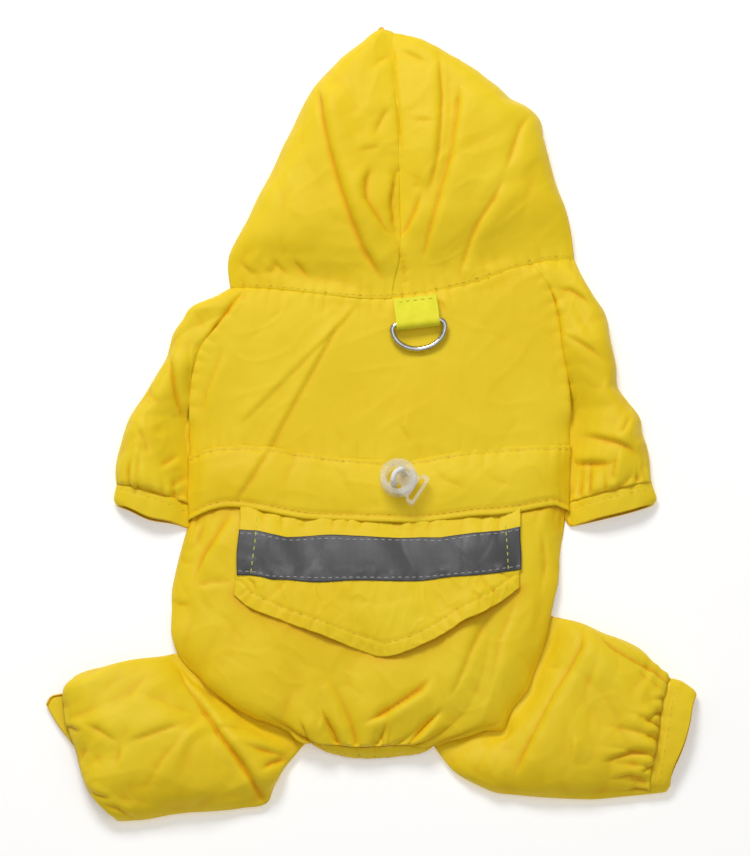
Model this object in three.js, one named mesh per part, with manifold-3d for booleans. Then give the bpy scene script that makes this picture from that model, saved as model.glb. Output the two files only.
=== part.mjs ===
// A hooded four-legged raincoat for a small dog, laid flat with its back up.
// Millimetres, +Z up from the surface it lies on, +Y towards the hood, +X to the viewer's right.
// Every cloth piece is a wall: a grid of points worked out from a table of sections, with its inner face
// behind it.
import * as THREE from 'three';
import Module from 'manifold-3d';
import { mergeVertices } from 'three/addons/utils/BufferGeometryUtils.js';

// Driving dimensions
const CLOTH = 1.0;            // thickness of a cloth wall
const SEAM_GAP = 0.36;        // between two pieces at a seam
const FOLD = 2.3;             // height of the middle of an edge fold, half the thickness of a folded edge
const CURL = 3.2;             // how far the lower layer curls up towards an edge fold
const BOXINESS = 2.6;         // how flat the top of a section is, 2 is an ellipse
const NECK_CROWN = 9.0;       // height of the neck seam in the middle
const SIDE_EDGE = CLOTH + SEAM_GAP;   // where a back panel comes down on the belly panels
const LAP_EDGE = 3.9;         // where the lower back comes down on a tucked leg
const TUCK = 3.2;             // height of a leg where it is tucked under the lower back
const TUCK_MARGIN = 3.2;      // how far outside the lower back's edge a leg starts to rise
const TUCK_REACH = 6;         // how soon it then rises to its full height
const BAND_TUNNEL = 2.35;     // room for the draw cord between the waistband and the back
const FLAP_LIFT = 0.9;        // the flap's gap to the lower back
const TAPE = 0.5;             // thickness of the reflective tape
const CORD = 2.0;             // diameter of the elastic draw cord
const WEBBING_WIDTH = 19;     // of the leash loop
const WEBBING = 1.0;          // its thickness
const RING_WIRE = 2.4;        // of the D-ring
const RING_INSIDE = 20.6;       // clear width of the D-ring
const YELLOW = 0xe6c41c;

// Tables

// Names the columns of a table: one object for each row.
function table(columns, rows) {
  const names = columns.split(' ');
  return rows.map((row) => Object.fromEntries(names.map((name, k) => [name, row[k]])));
}

// A smooth curve through evenly spaced values, t from 0 to 1.
function spline(values, t) {
  const last = values.length - 1;
  const place = Math.min(Math.max(t, 0), 1) * last;
  const i = Math.min(Math.floor(place), last - 1);
  const f = place - i;
  const at = (k) => {
    if (k < 0) return 2 * values[0] - values[1];
    if (k > last) return 2 * values[last] - values[last - 1];
    return values[k];
  };
  const [a, b, c, d] = [at(i - 1), at(i), at(i + 1), at(i + 2)];
  return b + 0.5 * f * (c - a + f * (2 * a - 5 * b + 4 * c - d + f * (3 * (b - c) + d - a)));
}

// The section of a table at t, every column interpolated.
function section(rows, t) {
  const names = Object.keys(rows[0]);
  return Object.fromEntries(names.map((name) => [name, spline(rows.map((row) => row[name]), t)]));
}

// count + 1 sections, evenly spaced along the table.
function sections(rows, count) {
  return Array.from({ length: count + 1 }, (_, k) => section(rows, k / count));
}

const mix = (a, b, t) => a + (b - a) * t;
const clamp = (value) => Math.min(Math.max(value, 0), 1);
const smooth = (value) => clamp(value) ** 2 * (3 - 2 * clamp(value));

// Folds: soft ridges (height above 0) and troughs (below 0) from one end to the other, seen from above.
const FOLDS = table('x1 y1 x2 y2 width height', [
  // hood, from the crown down to the leash loop
  [-21, 148, -15, 118, 3.0, -1.8],
  [-15, 118, -4, 84, 3.0, -2.2],
  [-4, 84, 8, 62, 3.0, -2.0],
  [-9, 118, 2, 84, 4.0, 1.4],
  [31, 152, 33, 110, 3.0, -1.6],
  [33, 110, 24, 66, 3.0, -1.4],
  [13, 160, 13, 108, 2.2, -1.2],
  [2, 100, 12, 78, 3.0, -2.0],
  [25, 104, 13, 78, 3.0, -1.4],
  [66, 132, 50, 100, 3.5, -1.3],
  [50, 100, 43, 66, 3.0, -1.2],
  // upper back
  [-14, 52, -46, -8, 3.5, 0.9],
  [-46, -8, -66, -34, 3.0, 0.8],
  [-68, 44, -74, 28, 2.6, -1.2],
  // lower back, from the tail hem upwards
  [-20, -134, -40, -112, 3.2, -1.6],
  [-6, -139, -14, -118, 3.2, -1.4],
  [8, -140, 14, -116, 3.0, -1.4],
  [16, -139, 36, -108, 3.2, -1.6],
  [24, -136, 52, -104, 3.4, -1.8],
  [-70, -106, -48, -120, 4.0, -1.6],
  // sleeves
  [-87, 30, -80, 6, 3.0, -2.0],
  [-96, -14, -84, -4, 2.6, -1.3],
  [-104, -20, -92, -13, 2.6, -1.0],
  [92, 52, 104, 42, 2.6, -1.1],
  [88, 38, 106, 24, 2.8, -1.4],
  [92, -2, 114, -6, 2.6, -1.3],
  [88, -12, 104, -14, 2.6, -1.6],
  [108, 6, 116, 14, 2.4, -1.0],
  // legs
  [-92, -126, -74, -112, 3.0, 1.2],
  [-104, -120, -86, -136, 3.0, -1.0],
  [-92, -150, -78, -128, 3.0, 1.1],
  [82, -98, 70, -140, 3.2, -1.2],
  [104, -112, 90, -140, 3.4, 1.1],
  [96, -148, 118, -146, 2.8, -1.3],
]);

// Height that the folds add at a place.
function foldHeight(x, y) {
  let height = 0;
  for (const fold of FOLDS) {
    const [dx, dy] = [fold.x2 - fold.x1, fold.y2 - fold.y1];
    const along = clamp(((x - fold.x1) * dx + (y - fold.y1) * dy) / (dx * dx + dy * dy));
    const distance = Math.hypot(x - fold.x1 - along * dx, y - fold.y1 - along * dy);
    height += fold.height * Math.exp(-((distance / fold.width) ** 2));
  }
  return height;
}

// Cloth walls

// A closed solid between an outer and an inner grid of points, each a list of rows.
function solidBetween(outer, inner) {
  const [rowCount, columnCount] = [outer.length, outer[0].length];
  const positions = [...outer.flat(), ...inner.flat()].flatMap((p) => [p.x, p.y, p.z]);
  const innerStart = rowCount * columnCount;
  const at = (j, i) => j * columnCount + i;
  const triangles = [];
  const quad = (a, b, c, d) => triangles.push(a, b, c, a, c, d);
  for (let j = 0; j < rowCount - 1; j += 1) {
    for (let i = 0; i < columnCount - 1; i += 1) {
      quad(at(j, i), at(j, i + 1), at(j + 1, i + 1), at(j + 1, i));
      const behind = (row, column) => innerStart + at(row, column);
      quad(behind(j, i), behind(j + 1, i), behind(j + 1, i + 1), behind(j, i + 1));
    }
    quad(at(j, 0), at(j + 1, 0), innerStart + at(j + 1, 0), innerStart + at(j, 0));
    const edge = columnCount - 1;
    quad(at(j + 1, edge), at(j, edge), innerStart + at(j, edge), innerStart + at(j + 1, edge));
  }
  for (let i = 0; i < columnCount - 1; i += 1) {
    quad(at(0, i + 1), at(0, i), innerStart + at(0, i), innerStart + at(0, i + 1));
    const end = rowCount - 1;
    quad(at(end, i), at(end, i + 1), innerStart + at(end, i + 1), innerStart + at(end, i));
  }
  const geometry = new THREE.BufferGeometry();
  geometry.setAttribute('position', new THREE.Float32BufferAttribute(positions, 3));
  geometry.setIndex(triangles);
  return outward(geometry);
}

// Turns a closed geometry's faces to point out.
function outward(geometry) {
  const [p, index] = [geometry.attributes.position, geometry.index];
  const corner = (k) => new THREE.Vector3().fromBufferAttribute(p, index.getX(k));
  let volume = 0;
  for (let k = 0; k < index.count; k += 3) {
    volume += corner(k).dot(corner(k + 1).cross(corner(k + 2)));
  }
  if (volume < 0) {
    for (let k = 0; k < index.count; k += 3) {
      const second = index.getX(k + 1);
      index.setX(k + 1, index.getX(k + 2));
      index.setX(k + 2, second);
    }
  }
  geometry.computeVertexNormals();
  return geometry;
}

// The direction out of the cloth at each point of a grid. topColumn is a column that faces up.
function gridNormals(points, topColumn) {
  const [rowCount, columnCount] = [points.length, points[0].length];
  const normals = points.map((row, j) => row.map((_, i) => {
    const across = new THREE.Vector3().subVectors(
      row[Math.min(i + 1, columnCount - 1)], row[Math.max(i - 1, 0)]);
    const along = new THREE.Vector3().subVectors(
      points[Math.min(j + 1, rowCount - 1)][i], points[Math.max(j - 1, 0)][i]);
    return across.cross(along).normalize();
  }));
  if (normals[Math.floor(rowCount / 2)][topColumn].z < 0) {
    normals.flat().forEach((normal) => normal.negate());
  }
  return normals;
}

// A cloth wall on a grid of points. relief(point, j, i) moves both faces out of the cloth by that much.
function clothWall(points, { topColumn, relief = () => 0, thickness = CLOTH, normalAt = (n) => n }) {
  const normals = gridNormals(points, topColumn).map((row, j) => row.map((n, i) => normalAt(n, j, i)));
  const moved = (extra) => points.map((row, j) => row.map((point, i) => {
    const place = point.clone().addScaledVector(normals[j][i], relief(point, j, i) + extra);
    place.z = Math.max(place.z, 0);
    return place;
  }));
  const outer = moved(0);
  return { outer, normals, geometry: solidBetween(outer, moved(-thickness)) };
}

// Positions of the columns across a section, closer together at its edges.
function spread(count) {
  return Array.from({ length: count + 1 }, (_, k) => (1 - Math.cos((Math.PI * k) / count)) / 2);
}

// How far a section has risen from its edge to its crown. round is 1 at a fold and 0 at a flat seam.
function rise(side, round) {
  return (1 - Math.abs(side) ** BOXINESS) ** mix(1, 0.5, round);
}

// The neck seam, shared by the hood, the sleeves and the back

const NECK = table('x y', [
  [-60.6, 61.6], [-44, 60.2], [-27, 58.0], [-10, 56.0], [9, 55.8],
  [26, 58.2], [43, 62.2], [60, 68.4], [74, 72.6], [88, 74.6],
]);
const NECK_LEFT = NECK[0].x;
const NECK_RIGHT = NECK[NECK.length - 1].x;

function neckY(x) {
  const k = NECK.findIndex((point) => point.x >= x);
  const [a, b] = [NECK[Math.max(k - 1, 0)], NECK[Math.max(k, 1)]];
  return mix(a.y, b.y, (x - a.x) / (b.x - a.x));
}

function neckZ(x) {
  const side = (2 * x - NECK_LEFT - NECK_RIGHT) / (NECK_RIGHT - NECK_LEFT);
  return FOLD + (NECK_CROWN - FOLD) * rise(Math.min(Math.abs(side), 1), 1);
}

// Armhole seams from the neck to the underarm, shared by the back, the belly and the sleeves
const ARMHOLE_LEFT = table('x y z', [
  [-52.4, 60.9, 5.8], [-60, 51.5, 6.2], [-68, 42, 6.4], [-75, 32, 6.0], [-78, 18, 5.2], [-79, 4, 4.2],
]);
const ARMHOLE_RIGHT = table('x y z', [
  [69.8, 71.3, 7.0], [76, 63, 6.8], [80, 52, 6.4], [83.4, 38, 6.0], [85.6, 24, 5.2], [86.4, 8, 4.2],
]);
const ARMHOLE_ROWS = 7;

// Body

const BODY_COLUMNS = 24;
const UPPER_CROWNS = [9.0, 9.6, 9.8, 9.6, 9.2, 9.0];
const NECK_BOW = [-9.5, -7.5, -6.2, -5.0, -4.2, -3.6];   // how far the middle of a row hangs below its ends
const BODY_ROW = 'lx ly lz lround rx ry rz rround bow crown';

// From the underarm to the waistband's top edge.
const BACK_MIDDLE = table(BODY_ROW, [
  [-79.3, -4, SIDE_EDGE, 1, 86.3, 0, SIDE_EDGE, 1, -3.6, 8.8],
  [-79.3, -17, SIDE_EDGE, 1, 86.3, -8, SIDE_EDGE, 1, -3.8, 8.2],
]);
// Under the waistband.
const BACK_BAND = table(BODY_ROW, [
  [-79.2, -21.5, SIDE_EDGE, 1, 86.1, -12.6, SIDE_EDGE, 1, -4.2, 8.0],
  [-79.0, -36.5, SIDE_EDGE, 1, 85.7, -29, SIDE_EDGE, 1, -5.6, 8.0],
  [-78.8, -41.5, SIDE_EDGE, 1, 85.4, -34, SIDE_EDGE, 1, -6.0, 8.2],
]);
const BACK_LOWER = table(BODY_ROW, [
  [-78.8, -41.5, SIDE_EDGE, 1, 85.4, -34, SIDE_EDGE, 1, -6.0, 8.2],
  [-81, -50, SIDE_EDGE, 1, 83.6, -43, SIDE_EDGE, 1, -6.0, 10.4],
  [-84, -60, SIDE_EDGE, 1, 82, -54, SIDE_EDGE, 1, -6.0, 12.0],
  [-86.4, -71, SIDE_EDGE, 1, 81, -65, SIDE_EDGE, 1, -5.5, 13.2],
  [-87, -82, SIDE_EDGE, 1, 80, -75, 2.8, 1, -5.0, 14.2],
  [-86.4, -93, 2.4, 1, 78, -86, LAP_EDGE, 1, -4.5, 14.8],
  [-82, -104, LAP_EDGE, 1, 75, -98, LAP_EDGE, 1, -4.0, 15.0],
  [-70, -115, LAP_EDGE, 1, 70, -111, LAP_EDGE, 1, -4.0, 14.4],
  [-55, -125, LAP_EDGE, 1, 61, -125, LAP_EDGE, 1, -4.0, 12.6],
  [-41, -133, LAP_EDGE, 1, 46, -135, LAP_EDGE, 1, -3.8, 10.0],
  [-28, -139, LAP_EDGE, 1, 28, -141.5, LAP_EDGE, 1, -3.4, 7.4],
]);
const TAIL_HEM = table(BODY_ROW, [
  [-27, -139.6, LAP_EDGE, 1, 27, -142.1, LAP_EDGE, 1, -3.4, 7.2],
  [-25, -141.6, 3.6, 1, 25, -144, 3.6, 1, -3.6, 5.4],
  [-21, -143.6, 2.0, 1, 21, -145.8, 2.0, 1, -3.6, 2.6],
]);

// Keeps a wall's border upright where the border column is a fold, so that it stands on what is under it.
function uprightBorders(lastColumn, isFold) {
  return (normal, j, i) => {
    if ((i !== 0 && i !== lastColumn) || !isFold(j)) return normal;
    return new THREE.Vector3(normal.x, normal.y, 0).normalize();
  };
}

// A body section from the left edge to the right, its middle hanging towards the tail by bow.
function bodySection(row, count) {
  return spread(count).map((share) => {
    const side = 2 * share - 1;
    const [edgeZ, round] = side < 0 ? [row.lz, row.lround] : [row.rz, row.rround];
    return new THREE.Vector3(
      mix(row.lx, row.rx, share),
      mix(row.ly, row.ry, share) + row.bow * (1 - side * side),
      edgeZ + (row.crown - edgeZ) * rise(side, round));
  });
}

// The upper back's rows between the armholes, moved in by the seam's gap.
function armholeRows() {
  return Array.from({ length: ARMHOLE_ROWS + 1 }, (_, k) => {
    const t = k / ARMHOLE_ROWS;
    const [left, right] = [section(ARMHOLE_LEFT, t), section(ARMHOLE_RIGHT, t)];
    return {
      lx: left.x + SEAM_GAP / 2, ly: left.y, lz: left.z, lround: 0,
      rx: right.x - SEAM_GAP / 2, ry: right.y, rz: right.z, rround: 0,
      bow: spline(NECK_BOW, t), crown: spline(UPPER_CROWNS, t),
    };
  });
}

function backUpper() {
  const rows = [...armholeRows(), ...BACK_MIDDLE, ...BACK_BAND];
  const points = rows.map((row) => bodySection(row, BODY_COLUMNS));
  points[0].forEach((point) => {
    point.y = neckY(point.x) - SEAM_GAP / 2;
    point.z = neckZ(point.x);
  });
  const last = points.length - 1;
  points[last].forEach((point) => { point.y += SEAM_GAP / 2; });
  const relief = (point, j, i) => {
    const inside = Math.sin((Math.PI * i) / BODY_COLUMNS) * smooth(j / 2);
    return foldHeight(point.x, point.y) * inside;
  };
  const normalAt = uprightBorders(BODY_COLUMNS, (j) => j > ARMHOLE_ROWS);
  return clothWall(points, { topColumn: BODY_COLUMNS / 2, relief, normalAt });
}

// Gathers under the waistband and above the tail hem, as unequal waves across the row.
function bodyGathers(share, t) {
  const underBand = Math.exp(-((t / 0.16) ** 2)) * 0.5 * Math.sin(2 * Math.PI * (9 * share + 0.2));
  const overTail = Math.exp(-(((1 - t) / 0.14) ** 2)) * 0.6 * Math.sin(2 * Math.PI * (6.5 * share));
  return (underBand + overTail) * Math.sin(Math.PI * share);
}

function backLower() {
  const rows = sections(BACK_LOWER, 14);
  const points = rows.map((row) => bodySection(row, BODY_COLUMNS));
  points[0].forEach((point) => { point.y -= SEAM_GAP / 2; });
  const relief = (point, j, i) => {
    const [share, t] = [i / BODY_COLUMNS, j / (rows.length - 1)];
    const fade = Math.sin(Math.PI * share) * smooth(4 * t);
    return foldHeight(point.x, point.y) * fade + bodyGathers(share, t) * smooth(12 * t);
  };
  const normalAt = uprightBorders(BODY_COLUMNS, () => true);
  return clothWall(points, { topColumn: BODY_COLUMNS / 2, relief, normalAt });
}

function tailHem() {
  const points = TAIL_HEM.map((row) => bodySection(row, 14));
  points[0].forEach((point) => { point.y -= 0.4; });
  return clothWall(points, { topColumn: 7 });
}

// The waistband lies on the upper back's lowest rows and stands off them over the draw cord.
function waistband(back) {
  const first = back.outer.length - BACK_BAND.length - 1;
  const rows = back.outer.slice(first);
  const normals = back.normals.slice(first);
  const tunnel = (j) => (j === 0 || j === rows.length - 1 ? 0 : BAND_TUNNEL);
  const fade = (i) => smooth(3 * Math.sin((Math.PI * i) / BODY_COLUMNS));
  const raised = (extra) => rows.map((row, j) => row.map((point, i) => (
    point.clone().addScaledVector(normals[j][i], SEAM_GAP + tunnel(j) * fade(i) + extra))));
  const keep = (grid) => grid.map((row) => row.slice(1, BODY_COLUMNS));
  return { outer: raised(CLOTH), geometry: solidBetween(keep(raised(CLOTH)), keep(raised(0))) };
}

// The lower back's edges, from its widest rows to the tail hem
const BACK_EDGES = {
  l: [...sections(BACK_LOWER, 14), TAIL_HEM[2]].map((row) => new THREE.Vector2(row.lx, row.ly)),
  r: [...sections(BACK_LOWER, 14), TAIL_HEM[2]].map((row) => new THREE.Vector2(row.rx, row.ry)),
};

// How far a place lies outside the lower back's edge, seen from above, less than 0 under the back.
function beyondBack(side, x, y) {
  const edge = BACK_EDGES[side];
  const facing = side === 'l' ? -1 : 1;
  let nearest = Infinity;
  let outside = 1;
  for (let k = 1; k < edge.length; k += 1) {
    const [dx, dy] = [edge[k].x - edge[k - 1].x, edge[k].y - edge[k - 1].y];
    const [px, py] = [x - edge[k - 1].x, y - edge[k - 1].y];
    const along = clamp((px * dx + py * dy) / (dx * dx + dy * dy));
    const distance = Math.hypot(px - along * dx, py - along * dy);
    if (distance < nearest) {
      nearest = distance;
      outside = Math.sign(facing * (dx * py - dy * px));
    }
  }
  return nearest * outside;
}

// 0 where a leg is tucked under the lower back, rising to 1 where it lies free.
function freeOfBack(side, x, y) {
  return 1 - Math.exp(-Math.max(0, beyondBack(side, x, y) - TUCK_MARGIN) / TUCK_REACH);
}

// Belly panels, flat on the surface, the right one lapping over the left one inside along the closure
const CLOSURE_LAP = 6;
const NECK_CORNER = 1.5;      // what a panel's corner at the neck keeps from the sleeve
const CLOSURE_STEP = 2.4;     // width of the slope where the right panel rises over the left one
const BELLY_EDGE = table('lx ly rx ry middleY', [
  [-78.6, -8, 85.8, -6, -6], [-78.4, -40, 85, -34, -38], [-82.6, -60, 81.6, -52, -58],
  [-85.8, -76, 80, -68, -76], [-85, -91, 79.2, -77.5, -92],
]);
const CLOSURE = table('x', [[9], [6.6], [5.2], [4.2], [3.2], [2.6]]);
const CLOSURE_ENDS = { top: 55.6, bottom: -92 };

function bellyRows(side) {
  const arm = side === 'l' ? ARMHOLE_LEFT : ARMHOLE_RIGHT;
  const inset = side === 'l' ? SEAM_GAP / 2 : -SEAM_GAP / 2;
  const upper = Array.from({ length: ARMHOLE_ROWS }, (_, k) => {
    const seam = section(arm, k / ARMHOLE_ROWS);
    const clearOfNeck = k === 0 ? Math.sign(inset) * NECK_CORNER : 0;
    const middleY = mix(CLOSURE_ENDS.top, BELLY_EDGE[0].middleY, k / ARMHOLE_ROWS);
    return { x: seam.x + inset + clearOfNeck, y: seam.y, middleY };
  });
  const lower = BELLY_EDGE.map((row) => ({ x: row[`${side}x`], y: row[`${side}y`], middleY: row.middleY }));
  return [...upper, ...lower];
}

function closureX(y) {
  const t = (CLOSURE_ENDS.top - y) / (CLOSURE_ENDS.top - CLOSURE_ENDS.bottom);
  return section(CLOSURE, clamp(t)).x;
}

// Left panel: five columns, flat. Right panel: two more columns step up over the left one.
function belly(side) {
  const points = bellyRows(side).map(({ x: edgeX, y: edgeY, middleY }, j) => {
    const closure = closureX(middleY);
    const plain = side === 'l' ? closure + CLOSURE_LAP : closure + CLOSURE_LAP + 2 * SEAM_GAP + CLOSURE_STEP;
    const columns = [0, 0.25, 0.5, 0.75, 1].map((share) => ({ x: mix(edgeX, plain, share), up: 0 }));
    if (side === 'r') {
      const up = CLOTH + SEAM_GAP;
      columns.push({ x: plain - CLOSURE_STEP, up }, { x: closure - CLOSURE_LAP, up });
    }
    return columns.map(({ x, up }) => {
      const y = j === 0 ? neckY(x) - SEAM_GAP : mix(edgeY, middleY, clamp((x - edgeX) / (closure - edgeX)));
      return new THREE.Vector3(x, y, CLOTH + up);
    });
  });
  return clothWall(points, { topColumn: 2, normalAt: () => new THREE.Vector3(0, 0, 1) });
}

// Flattened tubes: sleeves, legs, cuffs and the halves of the hood

// Points round one section. The upper layer runs from the inner edge over the crown to the outer fold,
// and the lower layer runs back. closed is 1 where the inner edge is a fold with a seam in it and 0 where
// the wall ends there on another piece. hem is how far across the lower layer ends. bow moves the middle
// of the section forward, and shift moves the lower layer.
function tubeSection(row, upperCount, lowerCount) {
  const inner = new THREE.Vector2(row.ix, row.iy);
  const outerEdge = new THREE.Vector2(row.ox, row.oy);
  const across = outerEdge.clone().sub(inner).normalize();
  const forward = new THREE.Vector2(across.y, -across.x);
  const curl = Math.min(0.6, (2 * CURL) / inner.distanceTo(outerEdge));
  const innerZ = mix(row.seam, FOLD + SEAM_GAP / 2, row.closed);
  const place = (share, z, under) => {
    const bow = row.bow * 4 * share * (1 - share);
    const plan = inner.clone().lerp(outerEdge, share).addScaledVector(forward, bow);
    return new THREE.Vector3(plan.x + row.shiftX * under, plan.y + row.shiftY * under, z);
  };
  const upper = spread(upperCount).map((share) => {
    const side = 2 * share - 1;
    const [edgeZ, round] = side < 0 ? [innerZ, row.closed] : [FOLD, 1];
    const nearEdge = 0.5 * (1 - smooth(8 * share * (1 - share)));
    return place(share, edgeZ + (row.crown - edgeZ) * rise(side, round), nearEdge);
  });
  const lower = spread(lowerCount).slice(1).map((step) => {
    const share = mix(1, row.hem, step);
    const side = 2 * share - 1;
    const lift = clamp((Math.abs(side) - (1 - curl)) / curl) ** 2;
    const high = side > 0 ? FOLD : (FOLD - SEAM_GAP / 2) * row.closed;
    const nearEdge = 1 - 0.5 * (1 - smooth(8 * share * (1 - share)));
    return place(share, high * lift, nearEdge);
  });
  return [...upper, ...lower];
}

// A tube's wall from its sections. relief acts on the upper layer and fades out towards its edges.
function tube(rows, upperCount, lowerCount, relief, fix = () => {}) {
  const points = rows.map((row) => tubeSection(row, upperCount, lowerCount));
  fix(points);
  const last = upperCount + lowerCount;
  const normalAt = uprightBorders(last, (j) => rows[j].closed > 0.3);
  const upperRelief = (point, j, i) => (
    i < upperCount ? relief(point, j, i) * Math.sin((Math.PI * i) / upperCount) : 0);
  return clothWall(points, { topColumn: Math.floor(upperCount / 2), relief: upperRelief, normalAt });
}

const TUBE_PLAIN = { seam: FOLD, hem: 0, bow: 0, shiftX: 0, shiftY: 0 };

// Sleeves: rows from the cuff seam to the underarm, then up to the neck
const SLEEVE_UPPER = 18;
const SLEEVE_LOWER = 6;
const LEFT_SLEEVE_LOW = table('ox oy ix iy crown', [
  [-110.4, -25.6, -79.7, -35.2, 8.2], [-111, -21, -79.8, -29, 10.0], [-110.4, -13, -80, -20, 11.4],
  [-107, -1, -80.2, -8, 11.6], [-101.5, 9.5, -80.2, 0, 10.6],
]);
const LEFT_SLEEVE_HIGH = table('ox oy crown', [
  [-96.5, 18, 9.6], [-91.8, 25.8, 9.0], [-88.2, 32.6, 8.8], [-86.8, 39.5, 8.8], [-82.6, 46.4, 8.4],
  [-73.5, 54, 7.6], [-60.8, 61.4, 6.0],
]);
const RIGHT_SLEEVE_LOW = table('ox oy ix iy crown', [
  [123.6, -25.2, 87.0, -33.8, 7.8], [122.6, -19, 87.0, -27, 9.6], [120.4, -11, 87.0, -17, 11.2],
  [118, -3, 87.0, -8, 11.6], [116.4, 3, 86.9, 1, 11.0],
]);
const RIGHT_SLEEVE_HIGH = table('ox oy crown', [
  [112, 11.5, 10.4], [108.8, 20, 10.0], [105.6, 32, 9.8], [102.2, 45, 9.6], [97.4, 56.5, 9.2],
  [92.4, 66, 8.6], [88, 74.4, 7.4],
]);

// Waves that a gathered edge sends up the cloth, unequal in width, fading over reach rows.
function gathers(count, height, reach, phase) {
  return (share, j) => {
    const uneven = share + 0.018 * Math.sin(11 * share + phase);
    return height * Math.sin(2 * Math.PI * count * uneven + phase) * Math.exp(-((j / reach) ** 2));
  };
}

function sleeve(low, high, armhole, waves, inset) {
  const lowRows = sections(low, 5).map((row) => ({ ...TUBE_PLAIN, ...row, closed: 1 }));
  const highRows = sections(high, ARMHOLE_ROWS).map((row, k) => {
    const seam = section(armhole, 1 - k / ARMHOLE_ROWS);
    return { ...TUBE_PLAIN, ...row, ix: seam.x + inset, iy: seam.y, seam: seam.z, closed: 0 };
  });
  const rows = [...lowRows, ...highRows];
  const last = rows.length - 1;
  const relief = (point, j, i) => (
    (foldHeight(point.x, point.y) * smooth(j / 2) + waves(i / SLEEVE_UPPER, j)) * smooth((last - j) / 2));
  const fix = (points) => points[last].forEach((point, i) => {
    point.y = neckY(point.x) - (i <= SLEEVE_UPPER ? SEAM_GAP / 2 : 2 * SEAM_GAP);
    if (i <= SLEEVE_UPPER) point.z = neckZ(point.x);
  });
  return tube(rows, SLEEVE_UPPER, SLEEVE_LOWER, relief, fix);
}

// A cuff: a short gathered band round the end of a tube.
function cuff(rows, upperCount, lowerCount) {
  const sectionsOfCuff = rows.map((row) => ({ ...TUBE_PLAIN, ...row, closed: 1 }));
  return tube(sectionsOfCuff, upperCount, lowerCount, () => 0);
}

const LEFT_SLEEVE_CUFF = table('ox oy ix iy crown', [
  [-110.6, -26.4, -80.0, -36.0, 8.0], [-111.8, -29.6, -80.2, -40.6, 7.6], [-112.4, -33.2, -80.8, -45.2, 7.2],
]);
const RIGHT_SLEEVE_CUFF = table('ox oy ix iy crown', [
  [123.8, -26.0, 87.0, -34.6, 7.6], [124.4, -30.0, 87.2, -39.4, 7.2], [124.8, -34.4, 87.6, -44.4, 6.8],
]);

// Legs: rows from the cuff seam to the end that is tucked under the lower back
const LEG_UPPER = 20;
const LEG_LOWER = 6;
const LEG_ROW = 'ix iy ox oy crown bow shiftX shiftY';
const LEFT_LEG = table(LEG_ROW, [
  [-132.6, -115.0, -114.6, -172.6, 6.0, 7.5, 8.6, 3.0],
  [-130.0, -111.8, -111.6, -174.2, 10.4, 6.0, 7.0, 2.4],
  [-124.4, -108.6, -104.4, -174.0, 13.4, 3.6, 4.0, 1.4],
  [-116, -106.4, -91, -172.2, 14.6, 1, 1.4, 0.4],
  [-106, -104.4, -78, -170.8, 14.8, 0, 0, 0],
  [-97, -102.6, -65.4, -169.6, 14.0, 0, 0, 0],
  [-91, -101.4, -56, -168.4, 12.2, 0, 0, 0],
  [-87.6, -100.7, -49.4, -167.0, 12.8, 0, 0, 0],
  [-86.0, -100.3, -43.6, -161.0, 13.0, 1, 0, 0],
  [-84.6, -100.3, -38.0, -151.4, 12.0, 2, 0, 0],
  [-83.0, -100.6, -32.6, -145.0, 11.0, 3, 0, 0],
  [-81.2, -101.0, -29.0, -141.0, 8.0, 4, 0, 0],
  [-75.0, -96.6, -25.0, -137.0, TUCK, 4, 0, 0],
]);
const RIGHT_LEG = table(LEG_ROW, [
  [128.4, -112.6, 121.4, -162.6, 8.6, 0, 0, 0],
  [124.8, -108.4, 117.0, -163.2, 10.8, 0, 0, 0],
  [118.4, -102.2, 108.6, -164.0, 13.2, 0, 0, 0],
  [109.6, -96.4, 97.0, -164.8, 15.0, 0, 0, 0],
  [100.6, -91.4, 85.4, -164.6, 15.4, 0, 0, 0],
  [93.4, -87.6, 74.0, -164.0, 15.0, 0, 0, 0],
  [88.6, -86.0, 63.4, -163.2, 14.0, -1, 0, 0],
  [85.4, -85.4, 53.4, -162.2, 12.8, -2, 0, 0],
  [83.2, -85.0, 44.4, -159.4, 12.0, -3, 0, 0],
  [81.4, -84.6, 36.4, -153.6, 11.0, -4, 0, 0],
  [79.6, -84.4, 30.4, -146.2, 9.0, -5, 0, 0],
  [73.6, -81.0, 25.6, -139.6, TUCK, -5, 0, 0],
]);

function leg(side, table_, waves) {
  const rows = table_.map((row) => ({ ...TUBE_PLAIN, ...row, closed: 1 }));
  const relief = (point, j, i) => {
    const height = foldHeight(point.x, point.y) * smooth(j / 2) + waves(i / LEG_UPPER, j);
    return height * freeOfBack(side, point.x, point.y) ** 2;
  };
  const fix = (points) => points.forEach((row) => row.slice(0, LEG_UPPER + 1).forEach((point) => {
    if (point.z > TUCK) point.z = mix(TUCK, point.z, freeOfBack(side, point.x, point.y));
  }));
  return tube(rows, LEG_UPPER, LEG_LOWER, relief, fix);
}

const RIGHT_LEG_CUFF = table('ix iy ox oy crown', [
  [129.4, -113.0, 122.0, -162.6, 8.4], [135, -115.2, 127.6, -161.8, 8.0], [141, -117.4, 132.4, -160.4, 7.4],
]);
// Turned under the leg's end, with one corner showing beyond it.
const LEFT_LEG_CUFF = table('ix iy ox oy crown bow', [
  [-127.0, -118.5, -112.2, -165.2, 2.9, 3.3], [-134.2, -120.2, -115.2, -166.4, 2.9, 3],
  [-141.2, -121.6, -117.4, -167.0, 2.9, 1],
]);

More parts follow.
